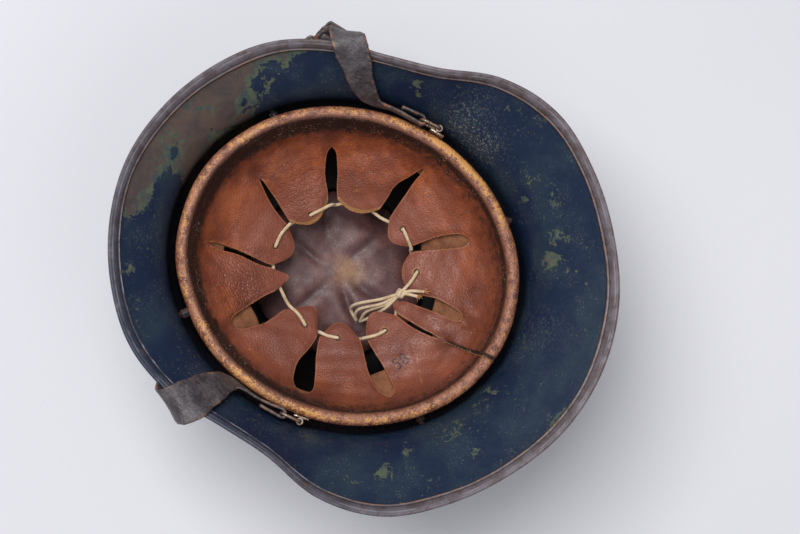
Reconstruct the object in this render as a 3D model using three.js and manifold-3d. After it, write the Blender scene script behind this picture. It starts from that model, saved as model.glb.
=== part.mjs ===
// An air raid helmet, lying upside down on its crown so that its leather liner shows.
// Millimetres, +Z up. The origin is under the middle of the helmet, at the lowest point of the crown.
// The visor points along -Y, the neck guard along +Y, and the wearer's right is at +X.
import * as THREE from "three";
import { mergeVertices } from "three/addons/utils/BufferGeometryUtils.js";
import Module from "manifold-3d";

const wasm = await Module();
wasm.setup();

// Driving dimensions of the shell
const SHEET = 1; // thickness of the steel
const DOME_DEPTH = 105; // from the crown to where the brim turns outwards
const CROWN_FLAT = 14; // radius of the small flat on the crown
const CROWN_SINK = 0.9; // how far that flat lies inside the true dome
const HEM_WIDTH = 6.5; // sheet turned inwards along the rim
const HEM_RISE = 1.5; // how far the hem stands above the inner face of the brim
const CENTRE_Y = -6.5; // middle of the dome and liner, which sit forward in the outline
const SHELL_GAP = 5.5; // between the liner ring and the dome wall
const BRIM_STEEP = 0.5; // share of the brim's rise that stays close to the dome wall
const BRIM_FLARE = 0.42; // share of the brim's reach that runs straight to the rim

// Rim as seen from the opening: distance from the middle of the dome, and height above the crown
const RIM = [
  { angle: 0, radius: 146, height: 147 },
  { angle: 15, radius: 144.5, height: 147 },
  { angle: 30, radius: 142.2, height: 147 },
  { angle: 45, radius: 139.4, height: 147 },
  { angle: 60, radius: 132, height: 149.4 },
  { angle: 75, radius: 123.4, height: 157.1 },
  { angle: 90, radius: 124.4, height: 162.6 },
  { angle: 105, radius: 139, height: 163 },
  { angle: 120, radius: 148.8, height: 163 },
  { angle: 135, radius: 151.2, height: 163 },
  { angle: 150, radius: 153.8, height: 163 },
  { angle: 165, radius: 157.6, height: 163 },
  { angle: 180, radius: 159, height: 163 },
];

// Driving dimensions of the liner
const RING_ACROSS = 95; // half width of the rolled ring
const RING_ALONG = 106; // half length of the rolled ring
const RING_TOP = 118; // height of the roll above the crown
const LEATHER = 2; // thickness of the liner leather
const ROLL = 8; // width of the rolled ring
const HOLE_RADIUS = 1.9; // lacing hole
const OPENING_REACH = 45; // where the slots run out into the middle opening
const INNER_FOOT = 113; // height at which the roll ends on the liner's wall

// Liner wall and bowl: reach is the share of the ring's radius, height is above the crown
const BOWL = [
  { reach: 0.905, height: 104 },
  { reach: 0.87, height: 95 },
  { reach: 0.8, height: 86 },
  { reach: 0.68, height: 77.5 },
  { reach: 0.54, height: 68.5 },
  { reach: 0.4, height: 60 },
  { reach: 0.26, height: 54 },
];

// Slots between the tongues, from the front round by +X. start, bend and end are the angles of the slot's
// middle line at its outer end, half way and at the opening, outer is the radius of the outer end, near,
// middle and mouth are half widths on the way in, and backing is how far in the tan band shows.
const SLOTS = [
  { start: 13.8, bend: 15.1, end: 21.5, outer: 86, near: 1.9, middle: 1.3, mouth: 1.2, backing: 76 },
  { start: 50.8, bend: 51.6, end: 49.7, outer: 78.4, near: 5.6, middle: 7.2, mouth: 6.4, backing: 62 },
  { start: 94.8, bend: 92.4, end: 94, outer: 82, near: 7.2, middle: 6, mouth: 1.5, backing: 74 },
  { start: 133, bend: 131.6, end: 130.6, outer: 84.4, near: 5.5, middle: 5.2, mouth: 2.2, backing: 68 },
  { start: 168, bend: 165.7, end: 165.2, outer: 74, near: 1, middle: 1.3, mouth: 1.4, backing: 70 },
  { start: 181, bend: 183, end: 182.2, outer: 80.4, near: 3.8, middle: 4.4, mouth: 3.4, backing: 62 },
  { start: 217.2, bend: 219.7, end: 221.2, outer: 80.4, near: 4.7, middle: 4.3, mouth: 1.8, backing: 52 },
  { start: 255.8, bend: 258.9, end: 257.5, outer: 79, near: 1.8, middle: 4.6, mouth: 4.2, backing: 76 },
  { start: 300.3, bend: 301.5, end: 302, outer: 76, near: 3.4, middle: 4.1, mouth: 3.4, backing: 78 },
  { start: 337.4, bend: 340, end: 343.2, outer: 76.8, near: 1.3, middle: 2.3, mouth: 1.5, backing: 78 },
];

// Tongues, each following the slot of the same row: tip is the radius of the tip, rise is how far the
// middle of the tongue stands above its edges, and the hole is at holeAngle and holeRadius.
const TONGUES = [
  { tip: 34, rise: 2, holeAngle: 0, holeRadius: 0 },
  { tip: 29, rise: 3, holeAngle: 79.2, holeRadius: 42 },
  { tip: 33, rise: 3, holeAngle: 109.2, holeRadius: 42.9 },
  { tip: 33, rise: 3, holeAngle: 148.6, holeRadius: 46.5 },
  { tip: 39, rise: 1, holeAngle: 0, holeRadius: 0 },
  { tip: 38, rise: 3, holeAngle: 202.6, holeRadius: 46.9 },
  { tip: 36, rise: 4, holeAngle: 238.1, holeRadius: 45.8 },
  { tip: 38, rise: 2, holeAngle: 0, holeRadius: 0 },
  { tip: 35, rise: 3, holeAngle: 324.2, holeRadius: 40.3 },
  { tip: 33, rise: 3, holeAngle: 364.6, holeRadius: 45 },
];

// Driving dimensions of the band, the pins and the pad
const BAND = 2; // thickness of the tan band
const BAND_INSET = 3; // from the ring's outer edge to the band's outer face
const BAND_TOP = 113.6; // top edge, inside the roll
const PIN_HEIGHT = 98; // height of the liner pins above the crown
const PIN_ANGLES = [40, 140, 220, 320];
const PIN_RADIUS = 2;
const PAD_ACROSS = 57; // half width of the crown pad
const PAD_ALONG = 61; // half length of the crown pad
const PAD_DEPTH = 24; // thickness of the crown pad in the middle

// Driving dimensions of the drawstring and the chin strap
const CORD_RADIUS = 1;
const CORD_SIDES = 5;
const STRAP = 1.8; // thickness of the strap leather
const STRAP_WIDTH = 18; // strap round the outside of the dome
const WIRE_RADIUS = 1.1; // bales and buckle
const WIRE_BEND = 2.2; // corners of the bales and the buckle
const CLEARANCE = 0.3; // gap that touching pieces keep

const AROUND = 48; // facets round the helmet
const DEGREE = Math.PI / 180;

// Round the outline

function outlinePoint(angle, radius, height) {
  const turn = angle * DEGREE;
  return new THREE.Vector3(radius * Math.sin(turn), CENTRE_Y - radius * Math.cos(turn), height);
}

function anglesRound(count) {
  return Array.from({ length: count }, (_, i) => (i * 360) / count);
}

// A ring of points round the outline, from a radius and a height at each angle.
function ring(pointAt) {
  return anglesRound(AROUND).map((angle) => {
    const point = pointAt(angle);
    return outlinePoint(angle, point.radius, point.height);
  });
}

function smoothStep(low, high, value) {
  return THREE.MathUtils.smoothstep(value, low, high);
}

// A smooth curve through four evenly spaced values, between the middle two.
function throughFour(before, from, to, after, t) {
  const bend = 2 * before - 5 * from + 4 * to - after;
  const twist = 3 * (from - to) + after - before;
  return from + 0.5 * t * (to - before + t * (bend + t * twist));
}

function rimAt(angle) {
  const folded = Math.abs(THREE.MathUtils.euclideanModulo(angle + 180, 360) - 180);
  const step = RIM[1].angle - RIM[0].angle;
  const row = Math.min(Math.floor(folded / step), RIM.length - 2);
  const t = folded / step - row;
  const last = RIM.length - 1;
  const rows = [row - 1, row, row + 1, row + 2].map((i) => RIM[i < 0 ? -i : i > last ? 2 * last - i : i]);
  const value = (key) => throughFour(rows[0][key], rows[1][key], rows[2][key], rows[3][key], t);
  return { radius: value("radius"), height: value("height") };
}

function ellipseRadius(angle, across, along) {
  const turn = angle * DEGREE;
  return (across * along) / Math.hypot(along * Math.sin(turn), across * Math.cos(turn));
}

function ringRadius(angle) {
  return ellipseRadius(angle, RING_ACROSS, RING_ALONG);
}

// Closed skins and solids

// A closed skin over rings of points. With poles, the first and last rings close onto their own centres;
// without, the last ring joins the first, as in a hoop.
function skinOver(rings, hasPoles) {
  const count = rings[0].length;
  const positions = rings.flat().flatMap((p) => [p.x, p.y, p.z]);
  const index = [];
  const joins = hasPoles ? rings.length - 1 : rings.length;
  for (let row = 0; row < joins; row++) {
    const next = (row + 1) % rings.length;
    for (let i = 0; i < count; i++) {
      const j = (i + 1) % count;
      const [a, b, c, d] = [row * count + i, row * count + j, next * count + j, next * count + i];
      index.push(a, b, c, a, c, d);
    }
  }
  if (hasPoles) {
    addPole(positions, index, rings[0], 0, false);
    addPole(positions, index, rings[rings.length - 1], (rings.length - 1) * count, true);
  }
  const geometry = new THREE.BufferGeometry();
  geometry.setAttribute("position", new THREE.Float32BufferAttribute(positions, 3));
  geometry.setIndex(isInsideOut(positions, index) ? index.toReversed() : index);
  return geometry;
}

// Whether a closed skin's faces point inwards, by the sign of the volume that they enclose.
function isInsideOut(positions, index) {
  const corner = (i) => new THREE.Vector3().fromArray(positions, 3 * index[i]);
  let volume = 0;
  for (let i = 0; i < index.length; i += 3) {
    volume += corner(i).dot(corner(i + 1).cross(corner(i + 2)));
  }
  return volume < 0;
}

function addPole(positions, index, ring, first, isLast) {
  const centre = ring.reduce((sum, p) => sum.add(p), new THREE.Vector3()).divideScalar(ring.length);
  const pole = positions.length / 3;
  positions.push(centre.x, centre.y, centre.z);
  ring.forEach((_, i) => {
    const a = first + i;
    const b = first + ((i + 1) % ring.length);
    index.push(...(isLast ? [a, b, pole] : [b, a, pole]));
  });
}

function toSolid(geometry) {
  const bare = geometry.clone();
  bare.deleteAttribute("normal");
  bare.deleteAttribute("uv");
  const merged = mergeVertices(bare, 1e-4);
  const mesh = new wasm.Mesh({
    numProp: 3,
    vertProperties: new Float32Array(merged.attributes.position.array),
    triVerts: new Uint32Array(merged.index.array),
  });
  return new wasm.Manifold(mesh);
}

function toGeometry(solid) {
  const mesh = solid.getMesh();
  const geometry = new THREE.BufferGeometry();
  geometry.setAttribute("position", new THREE.Float32BufferAttribute(mesh.vertProperties, 3));
  geometry.setIndex(Array.from(mesh.triVerts));
  return geometry;
}

function joined(geometries) {
  return toGeometry(geometries.map(toSolid).reduce((all, solid) => all.add(solid)));
}

function cutBy(geometry, cutters) {
  const left = cutters.map(toSolid).reduce((solid, cutter) => solid.subtract(cutter), toSolid(geometry));
  return toGeometry(left);
}

// A cylinder from one point to another.
function rod(from, to, radius, sides) {
  const along = new THREE.Vector3().subVectors(to, from);
  const geometry = new THREE.CylinderGeometry(radius, radius, along.length(), sides);
  const axis = new THREE.Vector3(0, 1, 0);
  const turn = new THREE.Quaternion().setFromUnitVectors(axis, along.clone().normalize());
  geometry.applyQuaternion(turn);
  geometry.translate((from.x + to.x) / 2, (from.y + to.y) / 2, (from.z + to.z) / 2);
  return geometry;
}

// A round cord or wire through points.
function cordThrough(points, radius, sides, steps) {
  const section = new THREE.Shape();
  for (let i = 0; i < sides; i++) {
    const turn = (2 * Math.PI * i) / sides;
    section[i ? "lineTo" : "moveTo"](radius * Math.cos(turn), radius * Math.sin(turn));
  }
  section.closePath();
  const extrudePath = new THREE.CatmullRomCurve3(points, false, "centripetal");
  return new THREE.ExtrudeGeometry(section, { steps, bevelEnabled: false, extrudePath });
}

// A flat strap over stations of a middle point, the way its face points, and its width.
function strapOver(stations, thickness) {
  const middles = stations.map((s) => s.middle);
  const rings = stations.map((station, i) => {
    const ahead = middles[Math.min(i + 1, middles.length - 1)];
    const behind = middles[Math.max(i - 1, 0)];
    const along = new THREE.Vector3().subVectors(ahead, behind).normalize();
    const across = new THREE.Vector3().crossVectors(station.facing, along).normalize();
    const up = new THREE.Vector3().crossVectors(along, across);
    const corner = (side, face) =>
      station.middle
        .clone()
        .addScaledVector(across, (side * station.width) / 2)
        .addScaledVector(up, (face * thickness) / 2);
    return [corner(1, 1), corner(1, -1), corner(-1, -1), corner(-1, 1)];
  });
  return skinOver(rings, true);
}

// The steel shell

function domeRadius(angle) {
  return ringRadius(angle) + SHELL_GAP;
}

// The dome's inner face at a turn of 0 at the crown and 1 where the brim starts.
function domePoint(angle, turn, outwards) {
  const radius = (domeRadius(angle) + outwards) * Math.sin((turn * Math.PI) / 2);
  const low = SHEET - outwards - CROWN_SINK;
  const height = low + (DOME_DEPTH - low) * (1 - Math.cos((turn * Math.PI) / 2));
  return { radius, height: Math.max(height, SHEET - outwards) };
}

// The brim's inner face from 0 at the dome wall to 1 at the rim, and a distance out from that face.
function brimPoint(angle, along, outwards) {
  const rim = rimAt(angle);
  const wall = domeRadius(angle);
  const reach = rim.radius - 1 - wall;
  const rise = rim.height - SHEET - DOME_DEPTH;
  const curve = new THREE.CubicBezierCurve(
    new THREE.Vector2(wall, DOME_DEPTH),
    new THREE.Vector2(wall, DOME_DEPTH + BRIM_STEEP * rise),
    new THREE.Vector2(rim.radius - 1 - BRIM_FLARE * reach, DOME_DEPTH + (1 - BRIM_FLARE * 0.8) * rise),
    new THREE.Vector2(rim.radius - 1, rim.height - SHEET),
  );
  const point = curve.getPoint(along);
  const way = curve.getTangent(along);
  return { radius: point.x + way.y * outwards, height: point.y - way.x * outwards, way };
}

function hemStart(angle) {
  const rim = brimPoint(angle, 1, 0);
  const wall = brimPoint(angle, 0, 0);
  const length = Math.hypot(rim.radius - wall.radius, rim.height - wall.height);
  return 1 - HEM_WIDTH / length;
}

function shellGeometry() {
  const crownTurn = (Math.asin(CROWN_FLAT / RING_ALONG) * 2) / Math.PI;
  const domeTurns = [crownTurn, 0.24, 0.4, 0.56, 0.71, 0.86, 1];
  const brimSteps = [0.18, 0.38, 0.6, 0.8];
  const edge = (angle) => {
    const point = brimPoint(angle, 1, (SHEET - HEM_RISE) / 2);
    return { radius: point.radius + point.way.x, height: point.height + point.way.y };
  };
  const rings = [
    ...domeTurns.map((turn) => ring((angle) => domePoint(angle, turn, 0))),
    ...brimSteps.map((along) => ring((angle) => brimPoint(angle, along * hemStart(angle), 0))),
    ring((angle) => brimPoint(angle, hemStart(angle), 0)),
    ring((angle) => brimPoint(angle, hemStart(angle), -HEM_RISE)),
    ring((angle) => brimPoint(angle, 0.985, -HEM_RISE)),
    ring(edge),
    ring((angle) => brimPoint(angle, 0.99, SHEET)),
    ...brimSteps.toReversed().map((along) => ring((angle) => brimPoint(angle, along, SHEET))),
    ...domeTurns.toReversed().map((turn) => ring((angle) => domePoint(angle, turn, SHEET))),
  ];
  const pinHoles = PIN_ANGLES.map((angle) => ringRod(angle, PIN_HEIGHT, 0, 12, PIN_RADIUS + CLEARANCE));
  return cutBy(skinOver(rings, true), pinHoles);
}

// The leather liner

// The row of the slot at or before an angle.
function slotBefore(angle) {
  const turned = THREE.MathUtils.euclideanModulo(angle - SLOTS[0].start, 360) + SLOTS[0].start;
  let row = SLOTS.length - 1;
  while (turned < SLOTS[row].start) row--;
  return row;
}

// Which tongue an angle falls on, and how far across it, from 0 to 1.
function tongueAt(angle) {
  const row = slotBefore(angle);
  const start = SLOTS[row].start;
  const width = THREE.MathUtils.euclideanModulo(SLOTS[(row + 1) % SLOTS.length].start - start, 360);
  return { tongue: TONGUES[row], across: THREE.MathUtils.euclideanModulo(angle - start, 360) / width };
}

function heightInBowl(reach) {
  const last = BOWL.length - 1;
  if (reach <= BOWL[last].reach) return BOWL[last].height;
  let row = 0;
  while (row < last - 1 && BOWL[row + 1].reach > reach) row++;
  const [outer, inner] = [BOWL[row], BOWL[row + 1]];
  return THREE.MathUtils.mapLinear(reach, outer.reach, inner.reach, outer.height, inner.height);
}

// Height of the leather's upper face. Each tongue is a little higher along its middle.
function leatherHeight(angle, reach) {
  const { tongue, across } = tongueAt(angle);
  const fade = 1 - smoothStep(0.5, 0.85, reach);
  return heightInBowl(reach) + tongue.rise * fade * Math.sin(Math.PI * across);
}

function bowlPoint(angle, reach, below) {
  const inwards = below * smoothStep(0.7, 0.9, reach);
  const radius = ringRadius(angle) * reach + inwards;
  return { radius, height: leatherHeight(angle, reach) - below + inwards * 0.6 };
}

// The rolled ring: a leather wrapped over the top of the band, with a leg down its outer side.
function ringGeometry() {
  const roll = ROLL / 2;
  const rollPoint = (angle, size, turn) => ({
    radius: ringRadius(angle) - roll + size * Math.cos(turn * DEGREE),
    height: RING_TOP - roll + size * Math.sin(turn * DEGREE),
  });
  const legFoot = RING_TOP - 11;
  return skinOver(
    [
      ring((angle) => ({ radius: ringRadius(angle) - LEATHER, height: legFoot })),
      ring((angle) => ({ radius: ringRadius(angle), height: legFoot })),
      ...[0, 65, 115, 180].map((turn) => ring((angle) => rollPoint(angle, roll, turn))),
      ring((angle) => ({ radius: ringRadius(angle) - ROLL, height: INNER_FOOT })),
      ring((angle) => ({ radius: ringRadius(angle) - ROLL + LEATHER, height: INNER_FOOT })),
      ...[180, 0].map((turn) => ring((angle) => rollPoint(angle, roll - LEATHER, turn))),
    ],
    false,
  );
}

// The liner's wall and tongues, from under the ring down into the bowl.
function leatherGeometry() {
  const top = INNER_FOOT - CLEARANCE;
  const rings = [
    ring((angle) => ({ radius: ringRadius(angle) - ROLL + LEATHER, height: top })),
    ring((angle) => ({ radius: ringRadius(angle) - ROLL, height: top })),
    ...BOWL.map((row) => ring((angle) => bowlPoint(angle, row.reach, 0))),
    ...BOWL.toReversed().map((row) => ring((angle) => bowlPoint(angle, row.reach, LEATHER))),
  ];
  return cutBy(skinOver(rings, false), [...SLOTS.map(slotCutter), openingCutter(), ...holeCutters()]);
}

function planShape(points) {
  return new THREE.Shape(points.map((p) => new THREE.Vector2(p.x, p.y)));
}

function standingCutter(points, low, high) {
  const geometry = new THREE.ExtrudeGeometry(planShape(points), { depth: high - low, bevelEnabled: false });
  geometry.translate(0, 0, low);
  return geometry;
}

// The angle of a slot's middle line at a share of its length: 0 at its outer end and 1 at the opening.
function slotAngle(slot, share) {
  const inwards = THREE.MathUtils.clamp(2 * share - 1, 0, 1);
  const outwards = THREE.MathUtils.clamp(2 * share, 0, 1);
  return slot.start + (slot.bend - slot.start) * outwards + (slot.end - slot.bend) * inwards;
}

function slotCutter(slot) {
  const sides = [
    { share: 0.06, half: slot.near * 0.55 },
    { share: 0.2, half: slot.near },
    { share: 0.5, half: slot.middle },
    { share: 1, half: slot.mouth },
    { share: 1.25, half: slot.mouth },
  ];
  const sidePoint = (side, sign) => {
    const radius = THREE.MathUtils.lerp(slot.outer, OPENING_REACH, side.share);
    return outlinePoint(slotAngle(slot, side.share) + (sign * side.half) / radius / DEGREE, radius, 0);
  };
  const points = [
    outlinePoint(slot.start, slot.outer, 0),
    ...sides.map((side) => sidePoint(side, -1)),
    ...sides.toReversed().map((side) => sidePoint(side, 1)),
  ];
  return standingCutter(points, 40, RING_TOP + 4);
}

// The scalloped opening that the ten tips leave in the middle.
function openingCutter() {
  const points = anglesRound(60).map((angle) => {
    const { tongue, across } = tongueAt(angle);
    const side = Math.abs(2 * across - 1) ** 2.4;
    return outlinePoint(angle, THREE.MathUtils.lerp(tongue.tip, OPENING_REACH, side), 0);
  });
  return standingCutter(points, 40, RING_TOP + 4);
}

function holeCutters() {
  return TONGUES.filter((tongue) => tongue.holeRadius > 0).map((tongue) => {
    const low = outlinePoint(tongue.holeAngle, tongue.holeRadius, 40);
    const high = outlinePoint(tongue.holeAngle, tongue.holeRadius, 90);
    return rod(low, high, HOLE_RADIUS, 7);
  });
}

// The tan band that carries the leather

// How far in the band's turned-in skirt reaches, between the values of the two nearest slots.
function backingEdge(angle) {
  const row = slotBefore(angle);
  const next = SLOTS[(row + 1) % SLOTS.length];
  return THREE.MathUtils.lerp(SLOTS[row].backing, next.backing, smoothStep(0, 1, tongueAt(angle).across));
}

function bandGeometry() {
  const outer = (angle) => ringRadius(angle) - BAND_INSET;
  const skirtGap = 3;
  const skirt = (angle, share, below) => {
    const radius = THREE.MathUtils.lerp(outer(angle) - 9, backingEdge(angle), share);
    return { radius, height: heightInBowl(radius / ringRadius(angle)) - LEATHER - skirtGap - below };
  };
  const rings = [
    ring((angle) => ({ radius: outer(angle), height: BAND_TOP })),
    ring((angle) => ({ radius: outer(angle) - BAND, height: BAND_TOP })),
    ring((angle) => ({ radius: outer(angle) - BAND, height: 90 })),
    ring((angle) => skirt(angle, 0.15, 0)),
    ring((angle) => skirt(angle, 0.55, 0)),
    ring((angle) => skirt(angle, 1, 0)),
    ring((angle) => skirt(angle, 1, BAND)),
    ring((angle) => skirt(angle, 0.5, BAND)),
    ring((angle) => skirt(angle, 0.1, BAND)),
    ring((angle) => ({ radius: outer(angle), height: 87 })),
  ];
  const hole = (angle, height, radius) => ringRod(angle, height, -BAND_INSET - 6, 1, radius + CLEARANCE);
  const pinHoles = PIN_ANGLES.map((angle) => hole(angle, PIN_HEIGHT, PIN_RADIUS));
  const rivetHoles = ANCHOR_ANGLES.map((angle) => hole(angle, RIVET_HEIGHT, RIVET_RADIUS));
  return cutBy(skinOver(rings, false), [...pinHoles, ...rivetHoles]);
}

// The frame at the ring's outer edge: its first axis points outwards, its second along the ring towards
// larger angles, and its third up.
function ringFrame(angle) {
  const edge = outlinePoint(angle, ringRadius(angle), 0);
  const outwards = new THREE.Vector3(edge.x / RING_ACROSS ** 2, (edge.y - CENTRE_Y) / RING_ALONG ** 2, 0);
  outwards.normalize();
  const up = new THREE.Vector3(0, 0, 1);
  const along = new THREE.Vector3().crossVectors(up, outwards);
  return new THREE.Matrix4().makeBasis(outwards, along, up).setPosition(edge);
}

function inRingFrame(angle, outwards, along, height) {
  return new THREE.Vector3(outwards, along, height).applyMatrix4(ringFrame(angle));
}

// A rod that stands square to the ring, from one distance out of its edge to another.
function ringRod(angle, height, from, to, radius) {
  return rod(inRingFrame(angle, from, 0, height), inRingFrame(angle, to, 0, height), radius, 6);
}

// A pin with a flat head inside the band, a shoulder between band and shell, and a head outside.
function pinGeometry(angle) {
  const bandOuter = -BAND_INSET;
  const bandInner = bandOuter - BAND;
  const shellInner = domePoint(angle, turnAtHeight(PIN_HEIGHT), 0).radius - ringRadius(angle);
  const shellOuter = shellInner + SHEET;
  const at = (from, to, radius) => ringRod(angle, PIN_HEIGHT, from, to, radius);
  return joined([
    at(bandInner - CLEARANCE - 1.2, bandInner - CLEARANCE, 3.6),
    at(bandInner - CLEARANCE - 0.6, shellOuter + 1, PIN_RADIUS),
    at(bandOuter + CLEARANCE, shellInner - CLEARANCE - 0.9, 3.2),
    at(shellOuter + CLEARANCE, shellOuter + 1.8, 4.2),
  ]);
}

function turnAtHeight(height) {
  return (Math.acos(1 - height / DOME_DEPTH) * 2) / Math.PI;
}

// The crown pad: a soft cushion that lies in the dome, with three shallow folds across its top.
function padGeometry() {
  const facets = 30;
  const shares = [0.3, 0.56, 0.8, 1];
  const padEdge = 3.5;
  const folds = [
    { angle: 60, depth: 2.4 },
    { angle: 150, depth: 3 },
    { angle: 285, depth: 2 },
  ];
  const padRadius = (angle) => ellipseRadius(angle, PAD_ACROSS, PAD_ALONG);
  const floorHeight = (angle, radius) => {
    const turn = (Math.asin(Math.min(radius / domeRadius(angle), 1)) * 2) / Math.PI;
    return domePoint(angle, turn, 0).height + CLEARANCE + 0.7;
  };
  const foldDepth = (angle, share) => {
    const depths = folds.map((fold) => fold.depth * Math.exp(-(((angle - fold.angle) / 16) ** 2)));
    return 4 * share * (1 - share) * Math.max(...depths);
  };
  const top = (angle, share) => {
    const radius = padRadius(angle) * share;
    const edgeHeight = floorHeight(angle, padRadius(angle)) + padEdge;
    const height = THREE.MathUtils.lerp(PAD_DEPTH + SHEET, edgeHeight, share ** 5);
    return outlinePoint(angle, radius, height - foldDepth(angle, share));
  };
  const bottom = (angle, share) => {
    const radius = padRadius(angle) * share * 0.97;
    return outlinePoint(angle, radius, floorHeight(angle, radius));
  };
  const rings = [
    ...shares.map((share) => anglesRound(facets).map((angle) => top(angle, share))),
    ...shares.toReversed().map((share) => anglesRound(facets).map((angle) => bottom(angle, share))),
  ];
  return skinOver(rings, true);
}

// The drawstring

// A point of the cord's route, over the leather or under it, beside the same point on the plan.
function overLeather(angle, radius, lift = 0) {
  const height = leatherHeight(angle, radius / ringRadius(angle));
  return outlinePoint(angle, radius, height + CORD_RADIUS + CLEARANCE + lift);
}

function underLeather(angle, radius, drop = 0) {
  const height = leatherHeight(angle, radius / ringRadius(angle));
  return outlinePoint(angle, radius, height - LEATHER - CORD_RADIUS - CLEARANCE - 0.3 - drop);
}

// Down through a tongue's hole.
function downThrough(tongue) {
  const { holeAngle, holeRadius } = tongue;
  return [overLeather(holeAngle, holeRadius, 0.1), underLeather(holeAngle, holeRadius, 0.1)];
}

// Up through a slot, from under the edge of one tongue to over the edge of the next.
function upBetween(slot, radius) {
  const share = (slot.outer - radius) / (slot.outer - OPENING_REACH);
  const angle = slotAngle(slot, share);
  const aside = Math.max(slot.mouth - CORD_RADIUS - CLEARANCE, 0) / radius / DEGREE;
  return [underLeather(angle - aside, radius, 0.3), overLeather(angle + aside, radius, 0.1)];
}

const KNOT = { angle: 182.5, radius: 39.5 };

function drawstringRoute() {
  const [, nine, eight, seven, , five, four, , two, one] = TONGUES;
  const knot = overLeather(KNOT.angle, KNOT.radius, 1.5);
  return [
    knot,
    overLeather(194, 43.5, 0.6),
    ...downThrough(five),
    underLeather(213, 46, 0.8),
    ...upBetween(SLOTS[6], 45.5),
    ...downThrough(four),
    underLeather(248, 43.5, 0.5),
    underLeather(257, 42, 1),
    underLeather(272, 42.5, 0.8),
    underLeather(290, 43, 0.5),
    ...upBetween(SLOTS[8], 42),
    overLeather(314, 40.5, 0.2),
    ...downThrough(two),
    underLeather(334, 42.5, 0.8),
    ...upBetween(SLOTS[9], 44.2),
    overLeather(354, 45, 0.2),
    ...downThrough(one),
    underLeather(378, 44, 0.5),
    underLeather(392, 42.5, 0.5),
    ...upBetween(SLOTS[1], 40.5),
    overLeather(428, 39.5, 0.4),
    ...downThrough(nine),
    ...upBetween(SLOTS[2], 41.8),
    overLeather(101, 42.6, 0.3),
    ...downThrough(eight),
    underLeather(122, 44, 0.4),
    ...upBetween(SLOTS[3], 45),
    overLeather(142, 46.2, 0.2),
    ...downThrough(seven),
    underLeather(160, 45.5, 0.4),
    underLeather(170, 42.5, 2.4),
    outlinePoint(181, 38, 56),
  ];
}

function knotGeometry(knot) {
  const wrap = new THREE.SphereGeometry(2.9, 8, 5);
  wrap.scale(1, 1.35, 0.85);
  wrap.translate(knot.x, knot.y, knot.z);
  return wrap;
}

function drawstringGeometry() {
  const route = drawstringRoute();
  const knot = route[0];
  const inBow = (x, y, z) => new THREE.Vector3(x, y, z);
  const upperEnd = inBow(24, 16, 38);
  const upperLoop = [knot, inBow(6, 24, 58), inBow(15.5, 10.5, 49), inBow(19, 9.5, 42), upperEnd];
  const upperBack = [knot, inBow(8, 26, 56.5), inBow(17.5, 14, 46.5), inBow(21.5, 14, 40.5), upperEnd];
  const lowerLoop = [knot, inBow(7, 28.5, 57), inBow(17, 19, 46), inBow(23.5, 18.5, 37)];
  const lowerBack = [knot, inBow(9.5, 29, 56), inBow(20, 22, 42.5), inBow(23.5, 18.5, 37)];
  const tail = [knot, overLeather(187, 45, 1.4), overLeather(189, 53, 0.8)];
  const bow = [upperLoop, upperBack, lowerLoop, lowerBack];
  return joined([
    cordThrough(route, CORD_RADIUS, CORD_SIDES, 76),
    knotGeometry(knot),
    ...bow.map((points) => cordThrough(points, CORD_RADIUS, CORD_SIDES, 7)),
    cordThrough(tail, CORD_RADIUS, CORD_SIDES, 4),
  ]);
}

// The chin strap and its fittings

// Strap rows inside the brim, from the bale up over the rim. facing is 180 towards the middle, 90 up.
const STRAP_LEFT = [
  { angle: 80, radius: 97.3, height: 122.5, facing: 180, width: 9 },
  { angle: 74, radius: 98, height: 122.8, facing: 176, width: 10 },
  { angle: 69.5, radius: 99.6, height: 124, facing: 162, width: 11 },
  { angle: 66.8, radius: 104, height: 134, facing: 150, width: 16 },
  { angle: 65.2, radius: 113, height: 146.3, facing: 138, width: 21 },
  { angle: 64.2, radius: 123.5, height: 156.2, facing: 118, width: 25 },
  { angle: 63.2, radius: 131.4, height: 158, facing: 80, width: 25 },
  { angle: 61.4, radius: 136.4, height: 151.6, facing: 10, width: 22 },
];
const STRAP_RIGHT = [
  { angle: -83, radius: 97.3, height: 122.5, facing: 180, width: 9 },
  { angle: -78, radius: 98, height: 123, facing: 176, width: 10 },
  { angle: -73.5, radius: 100, height: 125, facing: 162, width: 11 },
  { angle: -70, radius: 105, height: 136, facing: 148, width: 14 },
  { angle: -67.4, radius: 113.5, height: 147.5, facing: 136, width: 17 },
  { angle: -65.4, radius: 122.8, height: 155.6, facing: 118, width: 20 },
  { angle: -64, radius: 131, height: 157.6, facing: 80, width: 21 },
];

// Strap rows outside, from the rim down into the crook between dome and visor and round the front.
const STRAP_OUTSIDE = [
  { angle: 57.5, height: 139, standoff: 4 },
  { angle: 51, height: 127, standoff: 2.6 },
  { angle: 43, height: 116, standoff: 2.9 },
  { angle: 33, height: 106, standoff: 2.9 },
  { angle: 22, height: 101, standoff: 2 },
  { angle: 11, height: 98, standoff: 1.6 },
  { angle: 0, height: 97, standoff: 1.6 },
];

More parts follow.
